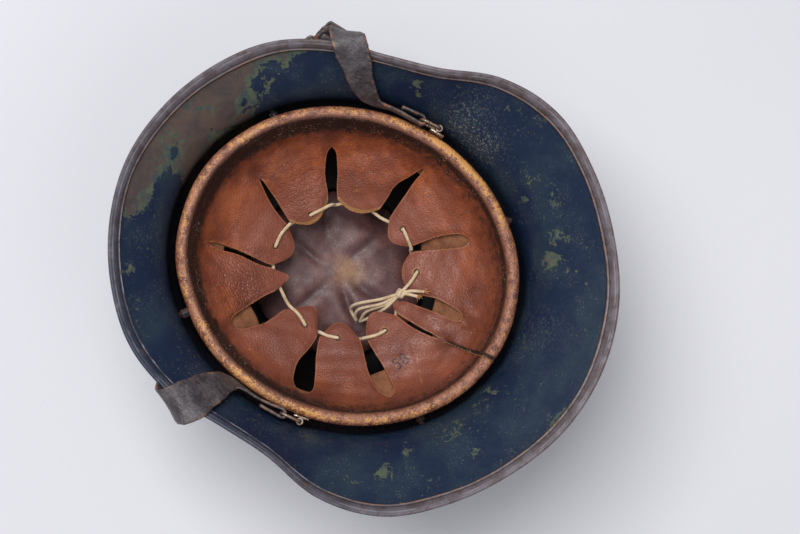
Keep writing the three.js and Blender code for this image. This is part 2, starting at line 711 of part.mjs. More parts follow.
// Fittings of the strap. The bales and the buckle are bent from one wire.
const BALE_ANGLES = { left: 89, right: -92 };
const BALE_LENGTH = 12; // along the ring, from the strap's fold to the anchor
const BALE_HEIGHT = 12;
const BALE_MIDDLE = 122.5; // height above the crown
const BALE_OUT = 2.9; // from the ring's edge to the wire
const ANCHOR_PLATE = { width: 9, thickness: 1, low: 99, high: 124 };
const SLEEVE_RADIUS = 2.2; // the anchor's sleeve round the bale
const RIVET_HEIGHT = 102;
const RIVET_RADIUS = 1.5;
const ANCHOR_ANGLES = [BALE_ANGLES.left, BALE_ANGLES.right].map((angle) => {
  return angle + (Math.sign(angle) * BALE_LENGTH) / RING_ACROSS / DEGREE;
});
const BUCKLE = { angle: -56.6, height: 136.4, length: 18, width: 27, level: 4 };

function facingAt(angle, facing) {
  const outwards = outlinePoint(angle, 1, 0).sub(outlinePoint(angle, 0, 0));
  const turn = facing * DEGREE;
  return outwards.multiplyScalar(Math.cos(turn)).setZ(Math.sin(turn));
}

// The outer face of the shell at a height, and the way that it faces there.
function outsideAt(angle, height, standoff) {
  const pointAt = (s) => (s < 1 ? domePoint(angle, s, SHEET) : brimPoint(angle, s - 1, SHEET));
  let low = 0;
  let high = 2;
  for (let i = 0; i < 30; i++) {
    const middle = (low + high) / 2;
    if (pointAt(middle).height < height) low = middle;
    else high = middle;
  }
  const here = pointAt(low);
  const next = pointAt(low + 0.01);
  const facing = Math.atan2(here.radius - next.radius, next.height - here.height) / DEGREE;
  const radius = here.radius + standoff * Math.cos(facing * DEGREE);
  return {
    middle: outlinePoint(angle, radius, height + standoff * Math.sin(facing * DEGREE)),
    facing: facingAt(angle, facing),
  };
}

function insideStation(row) {
  return {
    middle: outlinePoint(row.angle, row.radius, row.height),
    facing: facingAt(row.angle, row.facing),
    width: row.width,
  };
}

function outsideStation(row, side) {
  return { ...outsideAt(side * row.angle, row.height, row.standoff), width: STRAP_WIDTH };
}

// Stations of a strap folded round a wire. onwards points away from the strap, and up is the side of the
// layer that the fold starts or ends on.
function foldStations(wire, onwards, up, width) {
  const bend = WIRE_RADIUS + CLEARANCE + STRAP / 2;
  return [90, 45, 0, -45, -90].map((turn) => {
    const facing = onwards.clone().multiplyScalar(Math.cos(turn * DEGREE));
    facing.addScaledVector(up, Math.sin(turn * DEGREE));
    return { middle: wire.clone().addScaledVector(facing, bend), facing, width };
  });
}

// The strap's end at a bale: an outer layer that is folded back round the wire.
function baleFold(angle) {
  const side = Math.sign(angle);
  const wire = inRingFrame(angle, BALE_OUT, 0, BALE_MIDDLE);
  const onwards = inRingFrame(angle, BALE_OUT, side, BALE_MIDDLE).sub(wire);
  const up = inRingFrame(angle, BALE_OUT - 1, 0, BALE_MIDDLE).sub(wire);
  const fold = foldStations(wire, onwards, up, 9).toReversed();
  const outerEnd = {
    middle: inRingFrame(angle - side * 8, BALE_OUT + 2.1, 0, BALE_MIDDLE),
    facing: up.clone().negate(),
    width: 9,
  };
  return [outerEnd, ...fold];
}

// Stations between the given ones, on a smooth curve through them.
function smoothStations(stations, between) {
  const path = new THREE.CatmullRomCurve3(stations.map((s) => s.middle), false, "centripetal");
  const last = stations.length - 1;
  return Array.from({ length: last * between + 1 }, (_, i) => {
    const at = i / between;
    const row = Math.min(Math.floor(at), last - 1);
    const t = at - row;
    return {
      middle: path.getPoint(at / last),
      facing: stations[row].facing.clone().lerp(stations[row + 1].facing, t).normalize(),
      width: THREE.MathUtils.lerp(stations[row].width, stations[row + 1].width, t),
    };
  });
}

// The buckle's frame on the shell: its first axis points along the strap towards the front, its second
// across the strap, and its third away from the shell.
function buckleFrame() {
  const middle = outsideAt(BUCKLE.angle, BUCKLE.height, 0);
  const front = outsideAt(BUCKLE.angle + 5.6, BUCKLE.height - 9.4, 0).middle;
  const rear = outsideAt(BUCKLE.angle - 4, BUCKLE.height + 8, 0).middle;
  const along = front.sub(rear).normalize();
  const across = new THREE.Vector3().crossVectors(middle.facing, along).normalize();
  const up = new THREE.Vector3().crossVectors(along, across);
  return new THREE.Matrix4().makeBasis(along, across, up).setPosition(middle.middle);
}

function atBuckle(along, across, up) {
  return new THREE.Vector3(along, across, up).applyMatrix4(buckleFrame());
}

function buckleStation(along, up) {
  const foot = atBuckle(along, 0, 0);
  return { middle: atBuckle(along, 0, up), facing: atBuckle(along, 0, 1).sub(foot), width: STRAP_WIDTH };
}

function longStrapGeometry() {
  const front = STRAP_OUTSIDE.map((row) => outsideStation(row, 1));
  const across = STRAP_OUTSIDE.slice(2, -1).toReversed().map((row) => outsideStation(row, -1));
  const free = [
    buckleStation(17, 1.5),
    buckleStation(10, 1.6),
    buckleStation(6, 2),
    buckleStation(0, 5.2),
    buckleStation(-5.5, 8),
    buckleStation(-10, 8.8),
    buckleStation(-17, 9),
    buckleStation(-22, 8.4),
  ];
  const fold = smoothStations(baleFold(BALE_ANGLES.left), 1);
  const inside = STRAP_LEFT.map(insideStation);
  const body = smoothStations([fold.at(-1), ...inside, ...front, ...across, ...free], 2);
  return cutBy(strapOver([...fold.slice(0, -1), ...body], STRAP), [prongRod(WIRE_RADIUS + CLEARANCE)]);
}

function shortStrapGeometry() {
  const pivot = atBuckle(-BUCKLE.length / 2, 0, BUCKLE.level);
  const onwards = atBuckle(1, 0, 0).sub(atBuckle(0, 0, 0));
  const up = atBuckle(0, 0, 1).sub(atBuckle(0, 0, 0));
  const buckleFold = [
    ...foldStations(pivot, onwards, up, STRAP_WIDTH),
    buckleStation(-16, 1.6),
  ];
  const fold = baleFold(BALE_ANGLES.right);
  const overRim = [...STRAP_RIGHT.map(insideStation), buckleStation(-23.5, 3.2), buckleStation(-15, 6.4)];
  const body = smoothStations([fold.at(-1), ...overRim, buckleFold[0]], 2);
  const stations = [...fold.slice(0, -1), ...body, ...buckleFold.slice(1)];
  return cutBy(strapOver(stations, STRAP), [prongRod(WIRE_RADIUS + CLEARANCE)]);
}

// A closed loop of wire round flat corners, each of them bent round.
function wireLoop(corners) {
  const count = corners.length;
  const rings = corners.flatMap((corner, i) => {
    const before = corners[(i + count - 1) % count].clone().sub(corner).normalize();
    const after = corners[(i + 1) % count].clone().sub(corner).normalize();
    const normal = new THREE.Vector3().crossVectors(before, after);
    const centre = corner.clone().addScaledVector(before, WIRE_BEND).addScaledVector(after, WIRE_BEND);
    return [0, 45, 90].map((turn) => {
      const away = after.clone().multiplyScalar(-Math.cos(turn * DEGREE));
      away.addScaledVector(before, -Math.sin(turn * DEGREE));
      const middle = centre.clone().addScaledVector(away, WIRE_BEND);
      return wireRing(middle, away, normal);
    });
  });
  return skinOver(rings, false);
}

function wireRing(middle, away, normal) {
  return anglesRound(6).map((turn) => {
    const point = middle.clone().addScaledVector(away, WIRE_RADIUS * Math.cos(turn * DEGREE));
    return point.addScaledVector(normal, WIRE_RADIUS * Math.sin(turn * DEGREE));
  });
}

// The prong, from the buckle's pivot bar through the strap to its front bar.
function prongRod(radius) {
  const rise = 2 * WIRE_RADIUS - 0.2;
  const from = atBuckle(-BUCKLE.length / 2, 0, BUCKLE.level);
  return rod(from, atBuckle(BUCKLE.length / 2 + 1.5, 0, BUCKLE.level + rise), radius, 6);
}

function buckleGeometry() {
  const [length, width] = [BUCKLE.length / 2, BUCKLE.width / 2];
  const corners = [[-length, -width], [length, -width], [length, width], [-length, width]];
  const frame = wireLoop(corners.map(([along, across]) => atBuckle(along, across, BUCKLE.level)));
  return joined([frame, prongRod(WIRE_RADIUS)]);
}

function baleGeometry(angle) {
  const rear = Math.sign(angle) * BALE_LENGTH;
  const half = BALE_HEIGHT / 2;
  const corners = [[0, -half], [rear, -half], [rear, half], [0, half]];
  return wireLoop(corners.map(([along, up]) => inRingFrame(angle, BALE_OUT, along, BALE_MIDDLE + up)));
}

// A plate riveted to the band, with a sleeve at its top that holds the bale's rear bar.
function anchorGeometry(baleAngle, angle) {
  const rear = Math.sign(baleAngle) * BALE_LENGTH;
  const { width, thickness, low, high } = ANCHOR_PLATE;
  const plate = new THREE.BoxGeometry(thickness, width, high - low);
  plate.translate(0.35 + thickness / 2, 0, (low + high) / 2);
  plate.applyMatrix4(ringFrame(angle));
  const atBar = (height) => inRingFrame(baleAngle, BALE_OUT, rear, height);
  const bar = (from, to, radius) => rod(atBar(from), atBar(to), radius, 10);
  const bandInner = -BAND_INSET - BAND;
  const solid = joined([
    plate,
    bar(BALE_MIDDLE - 3.4, BALE_MIDDLE + 3.4, SLEEVE_RADIUS),
    ringRod(angle, RIVET_HEIGHT, bandInner - CLEARANCE - 0.5, 0.8, RIVET_RADIUS),
    ringRod(angle, RIVET_HEIGHT, bandInner - CLEARANCE - 1, bandInner - CLEARANCE, 3),
  ]);
  return cutBy(solid, [bar(BALE_MIDDLE - 5, BALE_MIDDLE + 5, WIRE_RADIUS + CLEARANCE)]);
}

const MATERIALS = {
  steel_shell: { color: 0x1d2a44, roughness: 0.5, metalness: 0.3 },
  liner_pin: { color: 0x3b3a3c, roughness: 0.5, metalness: 0.8 },
  liner_band: { color: 0x9a6a3c, roughness: 0.85, metalness: 0 },
  liner_leather: { color: 0x8a4a2e, roughness: 0.6, metalness: 0 },
  crown_pad: { color: 0x4a3030, roughness: 0.4, metalness: 0 },
  drawstring: { color: 0xd8c49a, roughness: 0.9, metalness: 0 },
  strap: { color: 0x3e3a38, roughness: 0.6, metalness: 0 },
  hardware: { color: 0x8a7a66, roughness: 0.45, metalness: 0.9 },
};

const helmet = new THREE.Group();

function addPiece(name, geometry, finish) {
  const mesh = new THREE.Mesh(geometry, new THREE.MeshStandardMaterial(MATERIALS[finish]));
  mesh.name = name;
  helmet.add(mesh);
}

addPiece("steel_shell", shellGeometry(), "steel_shell");
PIN_ANGLES.forEach((angle, i) => addPiece(`liner_pin_${i + 1}`, pinGeometry(angle), "liner_pin"));
addPiece("liner_band", bandGeometry(), "liner_band");
addPiece("liner_ring", ringGeometry(), "liner_leather");
addPiece("liner_leather", leatherGeometry(), "liner_leather");
addPiece("crown_pad", padGeometry(), "crown_pad");
addPiece("drawstring", drawstringGeometry(), "drawstring");
addPiece("chin_strap_long", longStrapGeometry(), "strap");
addPiece("chin_strap_short", shortStrapGeometry(), "strap");
addPiece("strap_buckle", buckleGeometry(), "hardware");
Object.entries(BALE_ANGLES).forEach(([side, angle], i) => {
  addPiece(`strap_bale_${side}`, baleGeometry(angle), "hardware");
  addPiece(`strap_anchor_${side}`, anchorGeometry(angle, ANCHOR_ANGLES[i]), "hardware");
});

export default helmet;
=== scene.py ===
"""Looks of an air raid helmet that lies upside down on its crown, so that its leather liner shows.

Sizes are in millimetres until a mesh is made. Meshes are in metres in the CAD model's frame: +Z is up, the
visor points along -Y, the neck guard along +Y, and the wearer's right is at +X.
"""

import logging
import math
from dataclasses import dataclass
from enum import Enum
from typing import NamedTuple

import bmesh
import bpy
import numpy as np
from mathutils import Matrix, Vector
from mathutils.bvhtree import BVHTree


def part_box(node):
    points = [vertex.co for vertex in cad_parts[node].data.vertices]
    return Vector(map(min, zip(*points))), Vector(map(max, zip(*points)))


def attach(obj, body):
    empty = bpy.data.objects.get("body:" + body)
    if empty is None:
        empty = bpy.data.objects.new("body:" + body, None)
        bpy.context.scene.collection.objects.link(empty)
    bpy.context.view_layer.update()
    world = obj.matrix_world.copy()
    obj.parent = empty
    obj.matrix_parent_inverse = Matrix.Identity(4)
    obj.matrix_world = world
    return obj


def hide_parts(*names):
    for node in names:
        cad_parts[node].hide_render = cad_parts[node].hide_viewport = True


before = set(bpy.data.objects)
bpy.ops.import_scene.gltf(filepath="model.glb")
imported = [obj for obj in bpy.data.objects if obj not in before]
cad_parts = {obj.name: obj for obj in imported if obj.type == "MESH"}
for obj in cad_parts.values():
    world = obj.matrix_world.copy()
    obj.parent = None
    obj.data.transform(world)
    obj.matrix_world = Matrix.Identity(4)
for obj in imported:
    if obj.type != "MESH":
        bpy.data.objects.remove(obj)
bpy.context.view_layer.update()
log = logging.getLogger("helmet")

MM = 0.001
DEGREE = math.pi / 180
Array = np.ndarray
Colour = tuple[float, float, float, float]
Socket = bpy.types.NodeSocket
Value = Socket | float
Tint = Socket | Colour
Piece = bpy.types.Object
Material = bpy.types.Material
Pair = tuple[Array, Array]
Values = dict[str, Array]


# Sums that several pieces share


def smooth_step(low: float, high: float, value: Array) -> Array:
    """Rises smoothly from 0 at low to 1 at high."""
    share = np.clip((value - low) / (high - low), 0, 1)
    return share * share * (3 - 2 * share)


def lerp(start: Array, end: Array, share: Array) -> Array:
    """The value a share of the way from start to end."""
    return start + (end - start) * share


def hill(distance: Array, width: float) -> Array:
    """A smooth hill, 1 at no distance and near 0 past twice the width."""
    return np.exp(-((distance / width) ** 2))


def from_place(points: Array, x: float, y: float) -> Array:
    """Distance of points from a place, in plan."""
    return np.hypot(points[..., 0] - x, points[..., 1] - y)


def lengths_along(points: Array) -> Array:
    """The length of a line up to each of its points."""
    return np.concatenate([[0], np.cumsum(np.linalg.norm(np.diff(points, axis=0), axis=1))])


def ellipse(angle: Array, across: float, along: float) -> Array:
    """Radius of an ellipse at angles in degrees, along at 0 and across at 90."""
    turn = np.asarray(angle, float) * DEGREE
    return across * along / np.hypot(along * np.sin(turn), across * np.cos(turn))


def turned(angle: Array, middle: float) -> Array:
    """The angle from middle, in degrees from -180 to 180."""
    return (np.asarray(angle, float) - middle + 180) % 360 - 180


def unit(vector: Array) -> Array:
    """The vector at a length of one."""
    return vector / np.linalg.norm(vector, axis=-1, keepdims=True)


def ripple(points: Array, wavelength: float, seed: int) -> Array:
    """Uneven smooth waves over points.

    Args:
        points: places, one row each.
        wavelength: rough distance from crest to crest.
        seed: fixes the waves, so that each run gives the same.

    Returns:
        A value for each point, mostly from -1 to 1.
    """
    random = np.random.default_rng(seed)
    waves = 7
    total = np.zeros(points.shape[:-1])
    for _ in range(waves):
        direction = unit(random.normal(size=3))
        length = wavelength * random.uniform(0.7, 1.5)
        total += np.sin(points @ direction * (2 * math.pi / length) + random.uniform(0, 2 * math.pi))
    return total / math.sqrt(waves)


def through(points: Array, steps: int) -> Array:
    """A smooth curve through points, as a centripetal Catmull-Rom spline.

    Args:
        points: the places that the curve passes, one row each.
        steps: points made for each stretch.

    Returns:
        The curve's points, the last place included.
    """
    ends = np.vstack([2 * points[0] - points[1], points, 2 * points[-1] - points[-2]])
    made = []
    for i in range(1, len(ends) - 2):
        p = ends[i - 1 : i + 3]
        gaps = np.maximum(np.linalg.norm(np.diff(p, axis=0), axis=1), 1e-6) ** 0.5
        knots = np.concatenate([[0], np.cumsum(gaps)])
        for t in np.linspace(knots[1], knots[2], steps, endpoint=False):
            made.append(spline_point(p, knots, t))
    return np.array(made + [points[-1]])


def spline_point(p: Array, knots: Array, t: float) -> Array:
    """One point of the spline through four places, between the middle two."""
    level = list(p)
    for depth in (1, 2, 3):
        level = [blend_knots(level[i], level[i + 1], knots, i, depth, t) for i in range(4 - depth)]
    return level[0]


def blend_knots(a: Array, b: Array, knots: Array, i: int, depth: int, t: float) -> Array:
    """One step of the spline's pyramid of sums."""
    low, high = (knots[i], knots[i + depth]) if depth < 3 else (knots[1], knots[2])
    return a * (high - t) / (high - low) + b * (t - low) / (high - low)


# Meshes


def add_object(name: str, data: bpy.types.ID) -> Piece:
    """A new object in the scene, at the origin."""
    piece = bpy.data.objects.new(name, data)
    bpy.context.scene.collection.objects.link(piece)
    return piece


def modify(piece: Piece, kind: str, **settings: object) -> bpy.types.Modifier:
    """Adds a modifier with its settings."""
    modifier = piece.modifiers.new(kind.lower(), kind)
    for key, value in settings.items():
        setattr(modifier, key, value)
    return modifier


def round_edges(piece: Piece, width: float, segments: int, sharp: float) -> None:
    """Rounds edges sharper than a number of degrees, by a width in millimetres."""
    angle = sharp * DEGREE
    modify(piece, "BEVEL", width=width * MM, segments=segments, limit_method="ANGLE", angle_limit=angle)


def shade_smooth(mesh: bpy.types.Mesh, values: Values) -> None:
    """Shades a mesh smooth and gives it named values, one for each vertex."""
    for key, column in values.items():
        layer = mesh.attributes.new(key, "FLOAT", "POINT")
        layer.data.foreach_set("value", np.asarray(column, np.float32).ravel())
    mesh.polygons.foreach_set("use_smooth", [True] * len(mesh.polygons))


def make_mesh(name: str, points: Array, faces: list, attributes: Values | None = None) -> Piece:
    """A mesh object from points in millimetres.

    Args:
        name: the piece's name.
        points: one row for each vertex.
        faces: lists of vertex numbers, with outer faces anticlockwise.
        attributes: named values, one for each vertex.

    Returns:
        The object, smooth shaded, at the origin.
    """
    mesh = bpy.data.meshes.new(name)
    mesh.from_pydata((np.asarray(points) * MM).tolist(), [], [list(map(int, face)) for face in faces])
    shade_smooth(mesh, attributes or {})
    return add_object(name, mesh)


def grid_faces(rows: int, columns: int, wraps: bool, first: int = 0) -> list:
    """Four-sided faces over rows of points, joined round when wraps is true.

    Args:
        rows: number of rows.
        columns: points in a row.
        wraps: whether the last column joins the first.
        first: number of the first vertex.

    Returns:
        The faces.
    """
    faces = []
    for row in range(rows - 1):
        for i in range(columns if wraps else columns - 1):
            j = (i + 1) % columns
            a, b = first + row * columns + i, first + row * columns + j
            faces.append((a, b, b + columns, a + columns))
    return faces


def fan_faces(start: int, columns: int, centre: int, flipped: bool) -> list:
    """Triangles from a ring of points to its centre."""
    pairs = [(start + i, start + (i + 1) % columns) for i in range(columns)]
    return [(b, a, centre) if flipped else (a, b, centre) for a, b in pairs]


def closed_faces(rows: int, columns: int) -> list:
    """Faces round rows of points, with a fan at each end to one of two further points.

    Args:
        rows: number of rows.
        columns: points in a row.

    Returns:
        The faces.
    """
    count = rows * columns
    faces = grid_faces(rows, columns, True) + fan_faces(0, columns, count, True)
    return faces + fan_faces(count - columns, columns, count + 1, False)


def settle(piece: Piece) -> None:
    """Turns a piece with modifiers into a plain mesh."""
    bpy.context.view_layer.update()
    graph = bpy.context.evaluated_depsgraph_get()
    mesh = bpy.data.meshes.new_from_object(
        piece.evaluated_get(graph), preserve_all_data_layers=True, depsgraph=graph
    )
    piece.modifiers.clear()
    piece.data = mesh


def face_outwards(piece: Piece, merge: float = 0.0) -> None:
    """Makes a closed mesh's faces point outwards, after joining points closer than merge metres.

    Args:
        piece: the piece.
        merge: joining distance in metres, 0 for none.
    """
    work = bmesh.new()
    work.from_mesh(piece.data)
    if merge:
        bmesh.ops.remove_doubles(work, verts=work.verts, dist=merge)
    bmesh.ops.recalc_face_normals(work, faces=work.faces)
    work.to_mesh(piece.data)
    work.free()


def vertex_places(piece: Piece) -> Array:
    """The places of a mesh's vertices, in millimetres."""
    places = np.zeros(len(piece.data.vertices) * 3)
    piece.data.vertices.foreach_get("co", places)
    return places.reshape(-1, 3) / MM


def move_vertices(piece: Piece, places: Array) -> None:
    """Puts a mesh's vertices at places in millimetres."""
    piece.data.vertices.foreach_set("co", (places * MM).ravel())
    piece.data.update()


def tube(
    points: Array, radius: Array, sides: int, ridges: float = 0.0, pitch: float = 3.0
) -> tuple[Array, list, Array, Array]:
    """A round cord along points, with closed ends and an optional plait.

    Args:
        points: the middle line, closely spaced.
        radius: one value, or one for each point.
        sides: points round the section.
        ridges: height of the plait's ridges as a share of the radius.
        pitch: length of one turn of the plait.

    Returns:
        The points, the faces and, for each point, the length along and the turn round.
    """
    count = len(points)
    radius = np.broadcast_to(np.asarray(radius, float), (count,))
    tangents = unit(np.gradient(points, axis=0))
    side = unit(np.cross(tangents[0], [0.31, 0.17, 0.93]))
    length = lengths_along(points)
    turns = np.arange(sides) * 2 * math.pi / sides
    rows = []
    for i in range(count):
        side = unit(side - tangents[i] * (side @ tangents[i]))
        up = np.cross(tangents[i], side)
        weave = np.cos(3 * turns + length[i] * 2 * math.pi / pitch)
        weave = np.maximum(weave, np.cos(3 * turns - length[i] * 2 * math.pi / pitch))
        size = radius[i] * (1 + ridges * (weave - 0.4))
        rows.append(points[i] + np.outer(np.cos(turns) * size, side) + np.outer(np.sin(turns) * size, up))
    places = np.vstack(rows + [points[:1], points[-1:]])
    faces = closed_faces(count, sides)
    along = np.concatenate([np.repeat(length, sides), [0, length[-1]]])
    around = np.concatenate([np.tile(turns, count), [0, 0]])
    return places, faces, along, around


# Finishes


def paint(red: int, green: int, blue: int) -> Colour:
    """A colour as a photograph shows it, from 0 to 255, turned into linear light."""
    return tuple((c / 255) ** 2.2 for c in (red, green, blue)) + (1.0,)


class Shader:
    """Builds one material of nodes around its principled surface."""

    def __init__(self, name: str) -> None:
        """Starts the material and its object coordinates."""
        self.material = bpy.data.materials.new(name)
        self.material.use_nodes = True
        self.tree = self.material.node_tree
        self.surface = self.tree.nodes["Principled BSDF"]
        self.places = self.tree.nodes.new("ShaderNodeTexCoord").outputs["Object"]

    def node(self, kind: str, inputs: dict, **settings: object) -> bpy.types.Node:
        """Adds a node.

        Args:
            kind: Blender's name of the node.
            inputs: values or other nodes' outputs, by the socket's name or number.
            settings: properties of the node.

        Returns:
            The node.
        """
        made = self.tree.nodes.new(kind)
        for key, value in settings.items():
            setattr(made, key, value)
        for key, value in inputs.items():
            self.feed(made.inputs[key], value)
        return made

    def feed(self, socket: Socket, value: Value | Tint) -> None:
        """Links an output to a socket, or sets the socket's value."""
        if isinstance(value, bpy.types.NodeSocket):
            self.tree.links.new(value, socket)
        else:
            socket.default_value = value

    def attribute(self, name: str) -> Socket:
        """A named value of the mesh."""
        return self.node("ShaderNodeAttribute", {}, attribute_name=name).outputs["Fac"]

    def stretched(self, x: float, y: float, z: float, turn: float = 0.0) -> Socket:
        """The object's coordinates, scaled on each axis and turned about the upright."""
        inputs = {"Vector": self.places, "Scale": (x, y, z), "Rotation": (0.0, 0.0, turn * DEGREE)}
        return self.node("ShaderNodeMapping", inputs).outputs["Vector"]

    def noise(
        self, size: float, detail: float = 4.0, roughness: float = 0.55,
        places: Socket | None = None, twist: float = 0.0,
    ) -> Socket:
        """Cloudy noise whose features are about size millimetres across.

        Args:
            size: width of the features.
            detail: number of finer layers.
            roughness: weight of the finer layers.
            places: coordinates other than the object's.
            twist: how much the pattern is bent.

        Returns:
            The noise, about 0.5 on average.
        """
        inputs = {"Vector": places or self.places, "Scale": 1 / (size * MM)}
        inputs |= {"Detail": detail, "Roughness": roughness, "Distortion": twist}
        return self.node("ShaderNodeTexNoise", inputs).outputs["Fac"]

    def cells(self, size: float, feature: str = "F1", places: Socket | None = None) -> Socket:
        """Distance to scattered points about size millimetres apart."""
        inputs = {"Vector": places or self.places, "Scale": 1 / (size * MM)}
        return self.node("ShaderNodeTexVoronoi", inputs, feature=feature).outputs["Distance"]

    def band(self, value: Socket, low: float, high: float, start: float = 0.0, end: float = 1.0) -> Socket:
        """Start below low, end above high, and a smooth change between."""
        inputs = {"Value": value, "From Min": low, "From Max": high, "To Min": start, "To Max": end}
        return self.node("ShaderNodeMapRange", inputs, interpolation_type="SMOOTHSTEP").outputs["Result"]

    def sum(self, operation: str, a: Value, b: Value) -> Socket:
        """One sum of two values."""
        return self.node("ShaderNodeMath", {0: a, 1: b}, operation=operation).outputs[0]

    def times(self, value: Value, factor: Value) -> Socket:
        """One value times another."""
        return self.sum("MULTIPLY", value, factor)

    def total(self, *values: Value) -> Socket:
        """The sum of several varying values."""
        result = values[0]
        for value in values[1:]:
            result = self.sum("ADD", result, value)
        return result

    def mix(self, share: Value, a: Tint, b: Tint) -> Socket:
        """The colour a share of the way from a to b.

        Args:
            share: how far from a to b.
            a: the first colour.
            b: the second colour.

        Returns:
            The colour.
        """
        made = self.node("ShaderNodeMix", {}, data_type="RGBA")
        self.feed(made.inputs[0], share)
        self.feed(made.inputs[6], a)
        self.feed(made.inputs[7], b)
        return made.outputs[2]

    def lay(self, tint: Tint, *shares: Value) -> None:
        """Lays a tint over the colour so far, where all the shares are high."""
        share = shares[0]
        for factor in shares[1:]:
            share = self.times(share, factor)
        self.colour = self.mix(share, self.colour, tint)

    def bump(self, height: Socket, distance: float, strength: float) -> Socket:
        """A bumped normal, with the height's range as distance in millimetres."""
        inputs = {"Height": height, "Distance": distance * MM, "Strength": strength}
        return self.node("ShaderNodeBump", inputs).outputs["Normal"]

    def finish(self, **sockets: Value | Tint) -> Material:
        """Feeds the colour and the surface's other sockets, named with underscores."""
        for key, value in {"Base_Color": self.colour, **sockets}.items():
            self.feed(self.surface.inputs[key.replace("_", " ")], value)
        return self.material


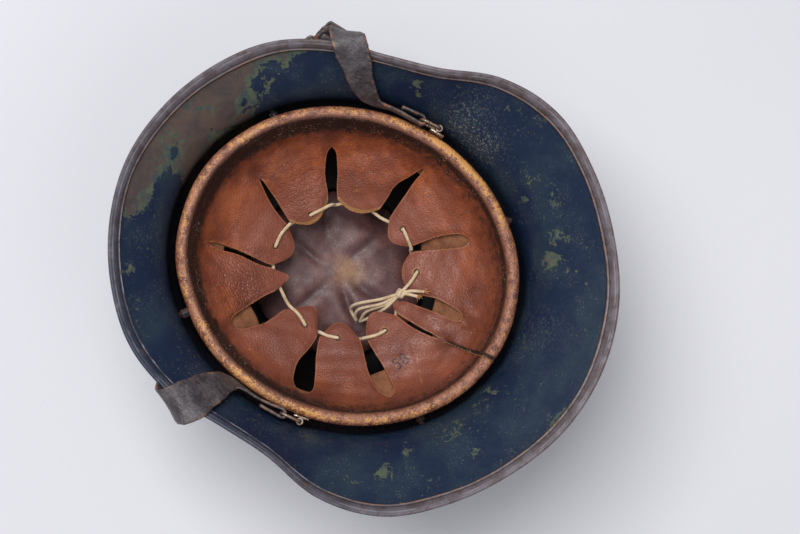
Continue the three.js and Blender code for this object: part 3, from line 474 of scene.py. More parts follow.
@dataclass(frozen=True)
class ShellPaint:
    """Dark blue paint over olive over a brown primer, worn through in ragged patches, with a grey hem;
    painted shade under the liner and in the hem's groove, and painted highlights along the hem.
    """

    navy: Colour = paint(25, 39, 62)
    navy_dull: Colour = paint(40, 54, 68)
    olive: Colour = paint(86, 92, 74)
    olive_blue: Colour = paint(60, 74, 76)
    primer: Colour = paint(92, 76, 70)
    primer_dark: Colour = paint(74, 66, 66)
    hem: Colour = paint(108, 100, 106)
    hem_brown: Colour = paint(88, 76, 76)
    rust: Colour = paint(164, 118, 84)
    bright: Colour = paint(178, 182, 192)
    scuff: Colour = paint(150, 146, 138)

    def build(self) -> Material:
        """Makes the material. The mesh gives wear, scuff, hem, shade and cold.

        Returns:
            The material.
        """
        s = Shader("shell_paint")
        wear = s.attribute("wear")
        coarse = s.noise(9, 7, 0.66, twist=0.8)
        fine = s.noise(2.6, 5, 0.7)
        ragged = s.total(s.times(coarse, 2.1), s.times(fine, 1.0))
        depth = s.sum("SUBTRACT", s.total(wear, ragged), 1.67)
        mottled = s.total(s.times(s.noise(17, 6, 0.7, twist=1.2), 2.0), s.times(fine, 0.8))
        bare = s.sum("SUBTRACT", s.total(wear, mottled), 1.4)
        navy = s.mix(s.band(s.noise(34, 4, 0.6), 0.38, 0.66), self.navy, self.navy_dull)
        olive = s.mix(s.band(s.noise(6, 5, 0.7), 0.38, 0.64), self.olive, self.olive_blue)
        primer = s.mix(s.band(s.noise(16, 6, 0.7), 0.38, 0.64), self.primer, self.primer_dark)
        s.colour = s.mix(s.band(depth, 0.3, 0.34), navy, olive)
        s.lay(primer, s.band(bare, 0.6, 0.84), s.band(depth, 0.34, 0.4))
        self.add_marks(s)
        self.add_hem(s)
        # Painted shade: the dome under the liner, where shade is high, is darkened nearly to black as if in
        # shadow.
        painted_shade = s.total(s.attribute("shade"), s.times(s.noise(5, 4, 0.7), 0.3))
        s.lay(paint(13, 9, 9), s.band(painted_shade, 0.3, 0.85, 0.0, 0.96))
        rough = s.total(s.band(depth, 0.3, 0.6, 0.4, 0.6), s.band(s.noise(4, 5, 0.7), 0.3, 0.7, -0.06, 0.1))
        chips = s.band(depth, 0.29, 0.35, 1.0, 0.0)
        height = s.total(s.times(chips, 0.8), s.times(s.noise(1.8, 4, 0.6), 0.4), s.times(coarse, 0.5))
        return s.finish(
            Roughness=rough, Metallic=0.0, Specular_IOR_Level=0.34,
            Normal=s.bump(height, 0.16, 0.9),
        )

    def add_marks(self, s: Shader) -> None:
        """Adds olive specks, pale specks, scuffs and fine scratches.

        Args:
            s: the material's shader.
        """
        clusters = s.band(s.noise(24, 3, 0.6), 0.48, 0.62)
        speck = s.times(s.band(s.noise(1.9, 4, 0.7), 0.58, 0.64), clusters)
        s.lay(self.olive, speck, 0.75)
        grit = s.times(s.band(s.noise(0.8, 3, 0.6), 0.64, 0.7), s.band(s.noise(17, 3), 0.5, 0.62))
        s.lay(self.scuff, grit, 0.7)
        smears = s.band(s.noise(1.5, 7, 0.75, places=s.stretched(0.6, 1.0, 1.0, turn=30)), 0.5, 0.7)
        s.lay(self.scuff, s.attribute("scuff"), smears)
        for turn, seed_size in ((38, 19), (-24, 26), (82, 31)):
            streaks = s.noise(0.7, 3, 0.6, places=s.stretched(0.05, 1.0, 1.0, turn=turn))
            places = s.band(s.noise(seed_size, 2), 0.54, 0.66, 0.0, 0.5)
            s.lay(self.scuff, s.band(streaks, 0.68, 0.74), places)

    def add_hem(self, s: Shader) -> None:
        """Adds the hem's grey, painted shade in its groove and at its foot, a painted highlight along its
        inner edge, and its lip, rust coloured and with a painted highlight.

        Args:
            s: the material's shader.
        """
        hem = s.attribute("hem")
        cold = s.attribute("cold")
        is_hem = s.times(s.band(hem, 0.1, 0.5), s.band(hem, 12, 14, 1.0, 0.0))
        grey = s.mix(s.band(s.noise(8, 6, 0.7), 0.4, 0.62), self.hem, self.hem_brown)
        grey = s.mix(s.times(cold, s.band(s.noise(9, 4, 0.6), 0.3, 0.5)), grey, paint(46, 54, 70))
        blotch = s.times(s.band(s.noise(3, 6, 0.75), 0.56, 0.64), s.band(s.noise(26, 3), 0.46, 0.6))
        grey = s.mix(s.times(blotch, 0.75), grey, self.navy_dull)
        # Painted highlight: a bright line along the bend at the hem's inner edge.
        line = s.times(s.band(hem, 4.9, 5.3), s.band(hem, 5.6, 6.2, 1.0, 0.0))
        grey = s.mix(s.times(line, s.band(s.noise(14, 3), 0.4, 0.6, 0.04, 0.28)), grey, self.bright)
        s.lay(grey, is_hem)
        # Painted shade: dark in the groove under the hem and at its foot on the brim.
        groove = s.times(s.band(hem, 1.1, 1.7), s.band(hem, 1.8, 2.5, 1.0, 0.0))
        foot = s.times(s.band(hem, -1.6, -0.5), s.band(hem, -0.3, 0.1, 1.0, 0.0))
        dark = s.times(s.sum("MAXIMUM", groove, foot), 0.72)
        s.lay(paint(20, 18, 24), dark)
        # The lip: rust coloured where it is worn, with a painted highlight that turns white where cold is
        # high.
        lip = s.times(s.band(hem, 0.0, 0.3), s.band(hem, 0.8, 1.25, 1.0, 0.0))
        lip = s.times(lip, s.band(s.noise(10, 5, 0.75), 0.42, 0.6, 0.08, 0.75))
        worn_lip_and_highlight = s.mix(s.band(s.total(cold, s.times(s.noise(9, 3), 0.4)), 0.5, 0.8), self.rust, self.bright)
        s.lay(worn_lip_and_highlight, lip)


@dataclass(frozen=True)
class LinerLeather:
    """Red brown leather with a pebbled grain, a valley under the ring darkened by soiling and painted shade,
    gold worn specks on it, and a painted highlight along its cut edges.
    """

    orange: Colour = paint(164, 86, 48)
    brown: Colour = paint(122, 62, 42)
    pink: Colour = paint(142, 84, 68)
    ring: Colour = paint(104, 62, 52)
    ring_worn: Colour = paint(172, 116, 88)
    gold: Colour = paint(206, 148, 84)
    dirt_and_shade: Colour = paint(38, 24, 22)
    flesh: Colour = paint(168, 122, 78)

    def build(self) -> Material:
        """Makes the material. The mesh gives pink, dirt, gold, roll, tan, wrinkle and edge.

        Returns:
            The material.
        """
        s = Shader("liner_leather")
        roll = s.attribute("roll")
        cloud = s.total(s.times(s.noise(22, 6, 0.66), 0.7), s.times(s.noise(4, 5, 0.7), 0.3))
        s.colour = s.mix(s.band(cloud, 0.4, 0.6), self.brown, self.orange)
        pink = s.total(s.attribute("pink"), s.times(s.noise(15, 4, 0.6), 0.6))
        s.lay(self.pink, s.band(pink, 0.35, 1.05))
        stains = s.band(s.noise(19, 6, 0.7, twist=0.6), 0.52, 0.72, 0.0, 0.45)
        s.lay(paint(92, 48, 34), stains)
        # Painted shade along the wall and round the slots' ends, with darker patches.
        s.lay(paint(78, 38, 28), s.attribute("shade_and_dark_patches"), 0.6)
        ring = s.mix(s.band(s.noise(5, 7, 0.75), 0.38, 0.62), self.ring, self.ring_worn)
        s.lay(ring, roll)
        # Painted shade with soiling: dark in the valley under the roll, where the tongues meet the wall, and
        # along the seam.
        valley = s.total(s.attribute("dirt_and_shade"), s.times(s.noise(5, 7, 0.75), 0.9))
        s.lay(self.dirt_and_shade, s.band(valley, 0.6, 0.95, 0.0, 0.97))
        salt = s.band(s.noise(1.5, 5, 0.75), 0.57, 0.63)
        salt = s.times(salt, s.band(valley, 0.72, 1.0, 0.0, 0.9))
        salt = s.times(salt, s.band(s.noise(14, 3), 0.44, 0.58))
        s.lay(paint(196, 168, 140), salt)
        patches = s.total(s.attribute("gold"), s.times(s.noise(12, 5, 0.7), 1.3))
        specks = s.total(s.times(patches, 0.8), s.times(s.noise(1.8, 6, 0.75), 1.4))
        s.lay(self.gold, s.band(specks, 1.44, 1.66))
        tan = s.total(s.attribute("tan"), s.times(s.noise(3, 5, 0.7), 0.4))
        s.lay(self.flesh, s.band(tan, 0.55, 0.9))
        # Painted highlight: a lighter line along the tongues' cut edges.
        edge = s.band(s.attribute("edge"), 0.15, 0.75, 0.65, 0.0)
        s.lay(paint(176, 112, 74), edge)
        scratch = s.noise(0.8, 4, 0.7, places=s.stretched(1.0, 0.1, 1.0, turn=24))
        scratch = s.times(s.band(scratch, 0.68, 0.78), s.band(s.noise(18, 2), 0.5, 0.7, 0.0, 0.6))
        s.lay(paint(186, 126, 92), scratch)
        dots = s.band(s.cells(9), 0.03, 0.07, 0.55, 0.0)
        dots = s.times(dots, s.band(s.noise(24, 2), 0.5, 0.6))
        s.lay(self.dirt_and_shade, dots)
        pores = s.band(s.cells(1.15), 0.06, 0.6)
        grain = s.total(s.times(pores, 0.9), s.times(s.noise(0.7, 4, 0.6), 0.8))
        creases = s.cells(2.1, "DISTANCE_TO_EDGE", places=s.stretched(1.0, 0.42, 1.0, turn=-32))
        creases = s.times(s.band(creases, 0.0, 0.2), s.attribute("wrinkle"))
        height = s.total(grain, s.times(creases, 1.6), s.times(s.noise(4, 4, 0.6), 0.7))
        s.lay(paint(84, 42, 30), s.band(pores, 0.0, 0.5, 0.22, 0.0))
        rough = s.band(s.noise(3, 5, 0.7), 0.32, 0.68, 0.32, 0.52)
        rough = s.total(rough, s.times(s.attribute("dirt_and_shade"), 0.2))
        return s.finish(Roughness=rough, Specular_IOR_Level=0.55, Normal=s.bump(height, 0.3, 0.85))


@dataclass(frozen=True)
class RawLeather:
    """Matt undyed leather: cut edges, the flesh side and the band."""

    name: str
    base: Colour
    dark: Colour

    def build(self) -> Material:
        """Makes the material from its two colours.

        Returns:
            The material.
        """
        s = Shader(self.name)
        cloud = s.total(s.times(s.noise(9, 6, 0.7), 0.6), s.times(s.noise(0.8, 3, 0.7), 0.4))
        s.colour = s.mix(s.band(cloud, 0.34, 0.66), self.base, self.dark)
        fibres = s.noise(0.5, 4, 0.75)
        return s.finish(
            Roughness=s.band(fibres, 0.3, 0.7, 0.75, 0.95),
            Specular_IOR_Level=0.3, Normal=s.bump(s.total(fibres, cloud), 0.2, 0.7),
        )


@dataclass(frozen=True)
class PadLeather:
    """Dark purple brown leather with a dull gloss, tan on the ridges beside its folds, with a painted
    highlight in its middle, painted shade in its folds and a painted sheen in purple patches.
    """

    dark: Colour = paint(86, 56, 56)
    worn: Colour = paint(122, 84, 80)
    tan: Colour = paint(160, 120, 90)

    def build(self) -> Material:
        """Makes the material. The mesh gives tan and fold.

        Returns:
            The material.
        """
        s = Shader("pad_leather")
        cloud = s.total(s.times(s.noise(14, 6, 0.65), 0.75), s.times(s.noise(1.2, 4, 0.6), 0.25))
        s.colour = s.mix(s.band(cloud, 0.36, 0.66), self.dark, self.worn)
        # Tan on the ridges beside the folds, and a painted highlight in the middle.
        tan = s.total(s.attribute("tan"), s.times(s.noise(5, 6, 0.7), 0.7))
        s.lay(self.tan, s.band(tan, 0.72, 1.15))
        # Painted shade in the folds.
        s.lay(paint(44, 26, 26), s.attribute("fold"), 0.5)
        # Painted sheen: pale purple patches of gloss.
        painted_sheen = s.band(s.noise(20, 5, 0.65, twist=0.5), 0.5, 0.66, 0.0, 0.32)
        s.lay(paint(112, 84, 92), painted_sheen)
        crackle = s.band(s.cells(1.6, "DISTANCE_TO_EDGE"), 0.0, 0.12)
        s.lay(paint(52, 32, 32), s.sum("SUBTRACT", 0.25, s.times(crackle, 0.25)))
        height = s.total(s.times(crackle, 0.5), s.times(s.noise(0.7, 3), 0.4), s.times(s.noise(7, 4), 0.8))
        rough = s.band(s.noise(6, 5, 0.7), 0.3, 0.7, 0.36, 0.54)
        return s.finish(Roughness=rough, Specular_IOR_Level=0.5, Normal=s.bump(height, 0.14, 0.7))


@dataclass(frozen=True)
class CordCotton:
    """Cream braided cotton, a little soiled, orange at its frayed ends."""

    cream: Colour = paint(226, 204, 170)
    soiled: Colour = paint(188, 158, 118)
    frayed: Colour = paint(206, 140, 82)

    def build(self) -> Material:
        """Makes the material. The mesh gives along, around and fray.

        Returns:
            The material.
        """
        s = Shader("cord_cotton")
        s.colour = s.mix(s.band(s.noise(7, 5, 0.7), 0.38, 0.7), self.cream, self.soiled)
        length = s.times(s.attribute("along"), 4.6)
        turn = s.times(s.attribute("around"), 3.0)
        left = s.node("ShaderNodeMath", {0: s.sum("ADD", length, turn)}, operation="SINE").outputs[0]
        right = s.node("ShaderNodeMath", {0: s.sum("SUBTRACT", length, turn)}, operation="SINE").outputs[0]
        weave = s.sum("MAXIMUM", left, right)
        # Painted shade in the grooves between the braid's strands.
        s.lay(paint(150, 118, 82), s.band(weave, -0.2, 0.55, 0.5, 0.0))
        s.lay(self.frayed, s.attribute("fray"))
        height = s.total(s.times(weave, 0.5), s.times(s.noise(0.3, 3, 0.7), 0.4))
        return s.finish(
            Roughness=0.9, Specular_IOR_Level=0.2, Sheen_Weight=0.25,
            Normal=s.bump(height, 0.14, 0.8),
        )


@dataclass(frozen=True)
class StrapLeather:
    """Dark grey brown leather, creased and shiny, with rust coloured edges."""

    dark: Colour = paint(58, 52, 55)
    pale: Colour = paint(98, 92, 95)
    edge: Colour = paint(146, 96, 64)

    def build(self) -> Material:
        """Makes the material. The mesh gives side, from 0 in the middle to 1 at an edge.

        Returns:
            The material.
        """
        s = Shader("strap_leather")
        cloud = s.total(s.times(s.noise(10, 6, 0.7), 0.7), s.times(s.noise(1.6, 4, 0.7), 0.3))
        s.colour = s.mix(s.band(cloud, 0.4, 0.66), self.dark, self.pale)
        torn = s.total(s.attribute("side"), s.times(s.noise(5, 6, 0.8), 1.1))
        s.lay(self.edge, s.band(torn, 1.5, 1.72))
        rubbed = s.band(s.noise(7, 6, 0.75, twist=0.7), 0.6, 0.72, 0.0, 0.55)
        s.lay(paint(112, 76, 58), rubbed)
        cracks = s.cells(4.5, "DISTANCE_TO_EDGE", places=s.stretched(1.0, 0.35, 0.8, turn=25))
        cracks = s.band(cracks, 0.0, 0.05)
        s.lay(paint(34, 29, 30), s.sum("SUBTRACT", 0.14, s.times(cracks, 0.14)))
        folds = s.noise(3.5, 5, 0.6, places=s.stretched(1.0, 0.4, 1.0, turn=64))
        height = s.total(
            s.times(cracks, 0.35), s.times(folds, 2.6),
            s.times(s.noise(0.7, 4, 0.7), 0.5), s.times(s.noise(5, 4), 0.8),
        )
        return s.finish(
            Roughness=s.band(cloud, 0.3, 0.7, 0.3, 0.56),
            Specular_IOR_Level=0.6, Normal=s.bump(height, 0.3, 0.85),
        )


@dataclass(frozen=True)
class FittingSteel:
    """Bare steel, bright where it rubs and spotted with rust elsewhere."""

    name: str
    bright: Colour
    rust: Colour = paint(112, 66, 38)
    metallic: float = 1.0

    def build(self) -> Material:
        """Makes the material from its two colours.

        Returns:
            The material.
        """
        s = Shader(self.name)
        spots = s.total(s.times(s.noise(3, 6, 0.7), 0.7), s.times(s.noise(0.7, 3, 0.6), 0.3))
        share = s.band(spots, 0.46, 0.58)
        s.colour = s.mix(share, self.bright, self.rust)
        return s.finish(
            Metallic=s.band(spots, 0.46, 0.58, self.metallic, 0.2),
            Roughness=s.band(spots, 0.4, 0.6, 0.28, 0.75), Normal=s.bump(spots, 0.2, 0.8),
        )


@dataclass(frozen=True)
class StampInk:
    """Dark ink that has sunk into the leather and lies unevenly."""

    def build(self) -> Material:
        """Makes the material.

        Returns:
            The material.
        """
        s = Shader("stamp_ink")
        blots = s.total(s.times(s.noise(1.4, 5, 0.7), 0.8), s.times(s.cells(0.95), 0.25))
        share = s.band(blots, 0.42, 0.66)
        s.colour = s.mix(share, paint(46, 34, 36), paint(112, 68, 54))
        return s.finish(Roughness=s.band(share, 0.0, 1.0, 0.62, 0.5))


@dataclass(frozen=True)
class PaleFloor:
    """A plain pale floor."""

    def build(self) -> Material:
        """Makes the material."""
        s = Shader("floor_pale")
        s.colour = s.mix(s.band(s.noise(700, 2), 0.3, 0.7), paint(226, 225, 230), paint(219, 218, 224))
        return s.finish(Roughness=0.9, Specular_IOR_Level=0.1)


def dress(piece: Piece, *finishes: Material) -> None:
    """Gives a piece its materials in order."""
    piece.data.materials.clear()
    for finish in finishes:
        piece.data.materials.append(finish)


class Slot(Enum):
    """The material slots."""

    SHELL = "shell_paint"
    PIN = "pin_steel"
    BAND = "band_leather"
    LINER = "liner_leather"
    PAD = "pad_leather"
    CORD = "cord_cotton"
    STRAP = "strap_leather"
    STEEL = "strap_steel"


def settle_in(piece: Piece, slot: Slot, *nodes: str) -> None:
    """Makes a piece ride on the part and stand for CAD nodes.

    Args:
        piece: the piece.
        slot: a material slot, not used.
        nodes: names of the CAD nodes.
    """
    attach(piece, "root")
    if nodes:
        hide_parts(*nodes)
    stands_for = ", ".join(nodes) or "nothing"
    log.info("%s: %d faces, stands for %s", piece.name, len(piece.data.polygons), stands_for)


# The outline that shell, liner and strap share


# The rim from the front to the rear, a row at every step of degrees
RIM_STEP = 15
RIM_RADII = (146, 144.5, 142.2, 139.4, 132, 123.4, 124.4, 139, 148.8, 151.2, 153.8, 157.6, 159)
RIM_HEIGHTS = (147, 147, 147, 147, 149.4, 157.1, 162.6, 163, 163, 163, 163, 163, 163)


@dataclass(frozen=True)
class HelmetOutline:
    """The formulas of ring, dome and brim, in millimetres and degrees from the front round by +X."""

    centre_y: float
    ring_across: float
    ring_along: float
    ring_top: float = 118
    sheet: float = 1
    dome_depth: float = 105
    crown_sink: float = 0.9
    shell_gap: float = 5.5
    brim_steep: float = 0.5
    brim_flare: float = 0.42
    hem_width: float = 6.5
    hem_rise: float = 1.5

    @classmethod
    def from_frame(cls) -> "HelmetOutline":
        """Takes the ring's size and place from the CAD node."""
        low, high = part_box("liner_ring")
        return cls((low.y + high.y) / 2 / MM, (high.x - low.x) / 2 / MM, (high.y - low.y) / 2 / MM)

    def place(self, angle: Array, radius: Array, height: Array) -> Array:
        """Points at angles, radii and heights round the middle of the dome."""
        turn, out, up = np.broadcast_arrays(np.asarray(angle, float) * DEGREE, radius, height)
        return np.stack([out * np.sin(turn), self.centre_y - out * np.cos(turn), up], axis=-1)

    def ring(self, angle: Array) -> Array:
        """Radius of the ring's outer edge."""
        return ellipse(angle, self.ring_across, self.ring_along)

    def rim(self, angle: Array) -> Pair:
        """Radius and height of the rim, on a smooth curve through its table.

        Args:
            angle: degrees round the helmet.

        Returns:
            The radii and the heights.
        """
        folded = np.abs(turned(angle, 0))
        last = len(RIM_RADII) - 1
        row = np.minimum((folded / RIM_STEP).astype(int), last - 1)
        t = folded / RIM_STEP - row

        def between(table: tuple) -> Array:
            """A table's value at the angles."""
            values = np.array(table, float)
            rows = [np.abs(row + k) for k in (-1, 0, 1, 2)]
            a, b, c, d = (values[np.where(i > last, 2 * last - i, i)] for i in rows)
            return b + 0.5 * t * (c - a + t * (2 * a - 5 * b + 4 * c - d + t * (3 * (b - c) + d - a)))

        return between(RIM_RADII), between(RIM_HEIGHTS)

    def dome(self, angle: Array, turn: Array, outwards: float) -> Pair:
        """Radius and height on the dome, from 0 at the crown to 1 where the brim starts.

        Args:
            angle: degrees round the helmet.
            turn: share of the way out.
            outwards: distance out of the inner face.

        Returns:
            The radii and the heights.
        """
        radius = (self.ring(angle) + self.shell_gap + outwards) * np.sin(turn * math.pi / 2)
        low = self.sheet - outwards - self.crown_sink
        height = low + (self.dome_depth - low) * (1 - np.cos(turn * math.pi / 2))
        return radius, np.maximum(height, self.sheet - outwards) + 0 * radius

    def brim(self, angle: Array, along: Array, outwards: Array) -> Pair:
        """Radius and height on the brim, from 0 at the dome to 1 at the rim.

        Args:
            angle: degrees round the helmet.
            along: 0 at the dome and 1 at the rim.
            outwards: distance out of the inner face.

        Returns:
            The radii and the heights.
        """
        rim_radius, rim_height = self.rim(angle)
        wall = self.ring(angle) + self.shell_gap
        reach = rim_radius - 1 - wall
        rise = rim_height - self.sheet - self.dome_depth
        out = [wall, wall, rim_radius - 1 - self.brim_flare * reach, rim_radius - 1]
        up = [0, self.brim_steep * rise, (1 - self.brim_flare * 0.8) * rise, rise]
        t, u = along, 1 - along
        shares = [u**3, 3 * u * u * t, 3 * u * t * t, t**3]
        radius = sum(share * value for share, value in zip(shares, out))
        height = self.dome_depth + sum(share * value for share, value in zip(shares, up))
        ways = [3 * u * u, 6 * u * t, 3 * t * t]
        run = sum(way * (out[i + 1] - out[i]) for i, way in enumerate(ways))
        climb = sum(way * (up[i + 1] - up[i]) for i, way in enumerate(ways))
        length = np.hypot(run, climb)
        return radius + climb / length * outwards, height - run / length * outwards

    def brim_length(self, angle: Array) -> Array:
        """Straight distance from the dome's edge to the rim."""
        rim_radius, rim_height = self.brim(angle, 1.0, 0.0)
        wall_radius, wall_height = self.brim(angle, 0.0, 0.0)
        return np.hypot(rim_radius - wall_radius, rim_height - wall_height)

    def polar(self, points: Array) -> Pair:
        """Angle and radius of points round the middle of the dome."""
        depth = points[..., 1] - self.centre_y
        return np.degrees(np.arctan2(points[..., 0], -depth)), np.hypot(points[..., 0], depth)

    def hem_start(self, angle: Array) -> Array:
        """Where on the brim the hem's inner edge lies."""
        return 1 - self.hem_width / self.brim_length(angle)


# The steel shell


class PaintPatch(NamedTuple):
    """A patch of wear in plan: above 0 the blue is worn through, below 0 it is left."""

    x: float
    y: float
    size: float
    wear: float


PAINT_PATCHES = [PaintPatch(*row) for row in [
    (18, -149, 12, 1.0), (-3, -151, 14, 1.1), (-23, -147, 17, 1.2), (-48, -138, 20, 1.2),
    (-67, -124, 20, 1.2), (-86, -112, 16, 1.1), (-100, -96, 12, 0.9), (-44, -125, 12, 0.9),
    (-60, -114, 12, 0.8), (13, -146, 10, 0.5), (21, -137, 8, 0.45), (-10, -142, 10, 0.6),
    (-12, -122, 10, 0.5), (-36, -115, 8, 0.5), (-23, -122, 9, 0.6), (-57, -100, 7, 0.4),
    (-75, -95, 7, 0.4), (-84, -90, 6, 0.4), (-101, -81, 8, 0.5), (-108, -69, 6, 0.4),
    (-17, -130, 4, -0.7), (6, -124, 8, -0.6), (34, -127, 9, -0.6), (22, -117, 10, -0.6),
    (48, -116, 9, -0.5), (-75, -102, 6, -0.7), (-86, -98, 6, -0.7), (-97, -86, 5, -0.5),
    (-62, -105, 5, -0.6), (-37, -113, 3, -0.6), (-83, -77, 16, -0.7), (-98, -64, 12, -0.6),
    (-72, -84, 8, -0.6), (10, -138, 8, 0.5), (29, -139, 7, 0.42), (42, -134, 6, 0.38),
    (56, -126, 6, 0.36), (-4, -112, 8, 0.42), (73, -115, 5, 0.35), (60, -123, 5, 0.35),
    (85, -107, 5, 0.35), (37, 101, 7, 0.36), (50, 100, 6, 0.36), (68, 90, 7, 0.4),
    (89, 71, 7, 0.36), (105, 61, 8, 0.5), (98, 88, 7, 0.34), (72, 103, 6, 0.34),
    (39, 138, 7, 0.4), (28, 144, 6, 0.4), (-50, 104, 7, 0.38), (-91, 72, 6, 0.46),
    (-78, 73, 5, 0.42), (-83, 88, 6, 0.36), (-71, 81, 5, 0.34), (-65, 100, 6, 0.36),
    (-66, 106, 6, 0.3), (-53, 102, 6, 0.34), (-125, 62, 6, 0.42), (-114, -15, 3, 0.5),
    (-109, -11, 2.5, 0.5), (-113, -6, 2, 0.5), (-120, 7, 4, 0.45), (-121, 39, 3, 0.5),
    (116, 43, 6, 0.3), (120, 12, 5, 0.26), (101, -20, 5, 0.35),
]]
SCUFFS = [PaintPatch(*row) for row in [
    (-104, 27, 12, 0.9), (-106, 15, 8, 0.7), (-98, 41, 9, 0.7), (-122, 22, 8, 0.4),
    (101, 10, 6, 0.6), (-11, 114, 12, 0.3),
]]
MOST_WEAR = 0.92


def patch_sum(patches: list[PaintPatch], points: Array) -> Array:
    """The patches' wear at points, added up, with the worn ones capped.

    Args:
        patches: rows of a table above.
        points: places.

    Returns:
        One value for each point.
    """
    worn = np.zeros(points.shape[:-1])
    kept = np.zeros(points.shape[:-1])
    for patch in patches:
        distance = from_place(points, patch.x, patch.y)
        if patch.wear > 0:
            worn += patch.wear * hill(distance, patch.size)
        else:
            kept += patch.wear * hill(distance, patch.size)
    return np.minimum(worn, MOST_WEAR) + kept


class HemRow(NamedTuple):
    """A row of the hem's section: distance past its lip, and how far out of the brim's inner face."""

    step: float
    out: float


HEM_SECTION = [HemRow(*row) for row in [
    (-1.1, 0.0), (-0.55, 0.1), (-0.15, 0.14), (0.0, -0.5), (0.2, -1.2), (0.5, -1.62), (0.9, -1.68),
    (1.3, -1.4), (1.7, -1.2), (2.2, -1.3), (2.8, -1.55), (3.6, -1.75), (4.5, -1.8), (5.3, -1.7),
    (5.9, -1.6),
]]


@dataclass
class SteelShell:
    """The pressed dome, its brim and the hem turned inwards along the rim."""

    outline: HelmetOutline
    around: int = 400
    dome_rows: int = 34
    brim_rows: int = 40
    edge_rows: int = 8
    wall_across: float = 100.5
    wall_along: float = 111.5
    inner_mark: float = -40.0
    outer_mark: float = 20.0
    edge_mark: float = 6.5

    def build(self) -> None:
        """Makes the shell and puts it in the CAD shell's place."""
        rows, hem = self.section_rows()
        angles = np.arange(self.around) * 360 / self.around
        points = np.array([self.outline.place(angles, *row(angles)) for row in rows])
        hem_values = np.array(hem)[:, None] + 0 * angles
        inside = np.arange(len(rows)) < self.inner_rows
        points[..., 2] += 0.16 * ripple(points, 46, 3) * smooth_step(60, 130, points[..., 2])
        wear = patch_sum(PAINT_PATCHES, points) * inside[:, None]
        wear += np.where(hem_values == self.outer_mark, self.outer_wear(points), 0)
        depth = points[..., 1] - self.outline.centre_y
        gap = np.hypot(points[..., 0] / self.wall_across, depth / self.wall_along)
        # Painted shade: darkens the dome under the liner, seen through the slots and the gap by the ring.
        shade = smooth_step(0.985, 0.93, gap) * inside[:, None]
        # cold marks the side where the hem keeps some blue paint and the lip's painted highlight turns white.
        cold = np.clip(hill(turned(angles, 60), 52), 0, 1) + np.zeros(gap.shape)
        scuff = patch_sum(SCUFFS, points) * inside[:, None]
        poles = self.outline.place(0, 0, np.array([self.outline.sheet, 0.0]))
        attributes = {"wear": wear, "hem": hem_values, "shade": shade, "scuff": scuff, "cold": cold}
        padded = {key: np.append(value.ravel(), [0, 0]) for key, value in attributes.items()}
        points = np.vstack([points.reshape(-1, 3), poles])
        piece = make_mesh("steel_shell_painted", points, closed_faces(len(rows), self.around), padded)
        face_outwards(piece)
        dress(piece, ShellPaint().build())
        settle_in(piece, Slot.SHELL, "steel_shell")

    def outer_wear(self, points: Array) -> Array:
        """Wear of the outer face: most at the crown, which the helmet lies on, and along the rim."""
        rim = smooth_step(0.94, 1.0, self.outline.polar(points)[1] / 150)
        return 0.1 + 0.34 * hill(points[..., 2], 14) + 0.2 * rim + 0.12 * ripple(points, 70, 14)

    def section_rows(self) -> tuple[list, list[float]]:
        """The section from the crown inside, over the rim, to the crown outside.

        Returns:
            For each row a function from angles to radius and height, and its distance past the hem's lip.
        """
        o = self.outline
        turns = np.linspace(0.07, 1, self.dome_rows)
        rows = [lambda a, t=t: o.dome(a, t, 0) for t in turns]
        hem = [self.inner_mark] * len(rows)
        for share in np.linspace(0.03, 0.93, self.brim_rows):
            rows.append(lambda a, s=share: o.brim(a, s * o.hem_start(a), 0))
            hem.append(self.inner_mark * (1 - share))
        for step, out in HEM_SECTION:
            rows.append(lambda a, s=step, w=out: o.brim(a, o.hem_start(a) + self.lip_step(a, s), w))
            hem.append(step)
        radius = (o.sheet + o.hem_rise) / 2
        middle = (o.sheet - o.hem_rise) / 2
        for turn in np.linspace(0.12, 0.88, self.edge_rows) * math.pi:
            rows.append(lambda a, t=turn: self.edge_point(a, radius, middle, t))
            hem.append(self.edge_mark)
        self.inner_rows = len(rows)
        for share in np.linspace(0.98, 0.02, self.brim_rows - 8):
            rows.append(lambda a, s=share: o.brim(a, s, o.sheet))
            hem.append(self.outer_mark)
        rows += [lambda a, t=t: o.dome(a, t, o.sheet) for t in turns[::-1]]
        hem += [self.outer_mark] * len(turns)
        return rows, hem

    def lip_step(self, angle: Array, step: float) -> Array:
        """A distance across the hem as a share of the brim, with the hem's edge a little uneven."""
        uneven = 0.35 * np.sin(angle * DEGREE * 5 + 1) + 0.2 * np.sin(angle * DEGREE * 13)
        fade = max(0.0, 1 - max(step, 0.0) / self.outline.hem_width)
        return (step + uneven * fade) / self.outline.brim_length(angle)

    def edge_point(self, angle: Array, radius: float, middle: float, turn: float) -> Pair:
        """A point on the rounded edge, from the hem's face round to the outer face.

        Args:
            angle: degrees round the helmet.
            radius: radius of the edge.
            middle: the edge's middle, out of the inner face.
            turn: 0 at the hem's face and pi at the outer face.

        Returns:
            The radii and the heights.
        """
        inner = self.outline.brim(angle, 1.0, middle - 0.5)
        outer = self.outline.brim(angle, 1.0, middle + 0.5)
        out = np.array([outer[0] - inner[0], outer[1] - inner[1]])
        way = np.array([-out[1], out[0]])
        ahead = 1 - radius + radius * math.sin(turn)
        side = -radius * math.cos(turn)
        foot = self.outline.brim(angle, 1.0, middle)
        return foot[0] + way[0] * ahead + out[0] * side, foot[1] + way[1] * ahead + out[1] * side


# The leather liner


class SlotRow(NamedTuple):
    """A slot between two tongues: its middle line, its half widths on the way in, and the band behind it."""

    start: float
    bend: float
    end: float
    outer: float
    near: float
    middle: float
    late: float
    mouth: float
    backing: float


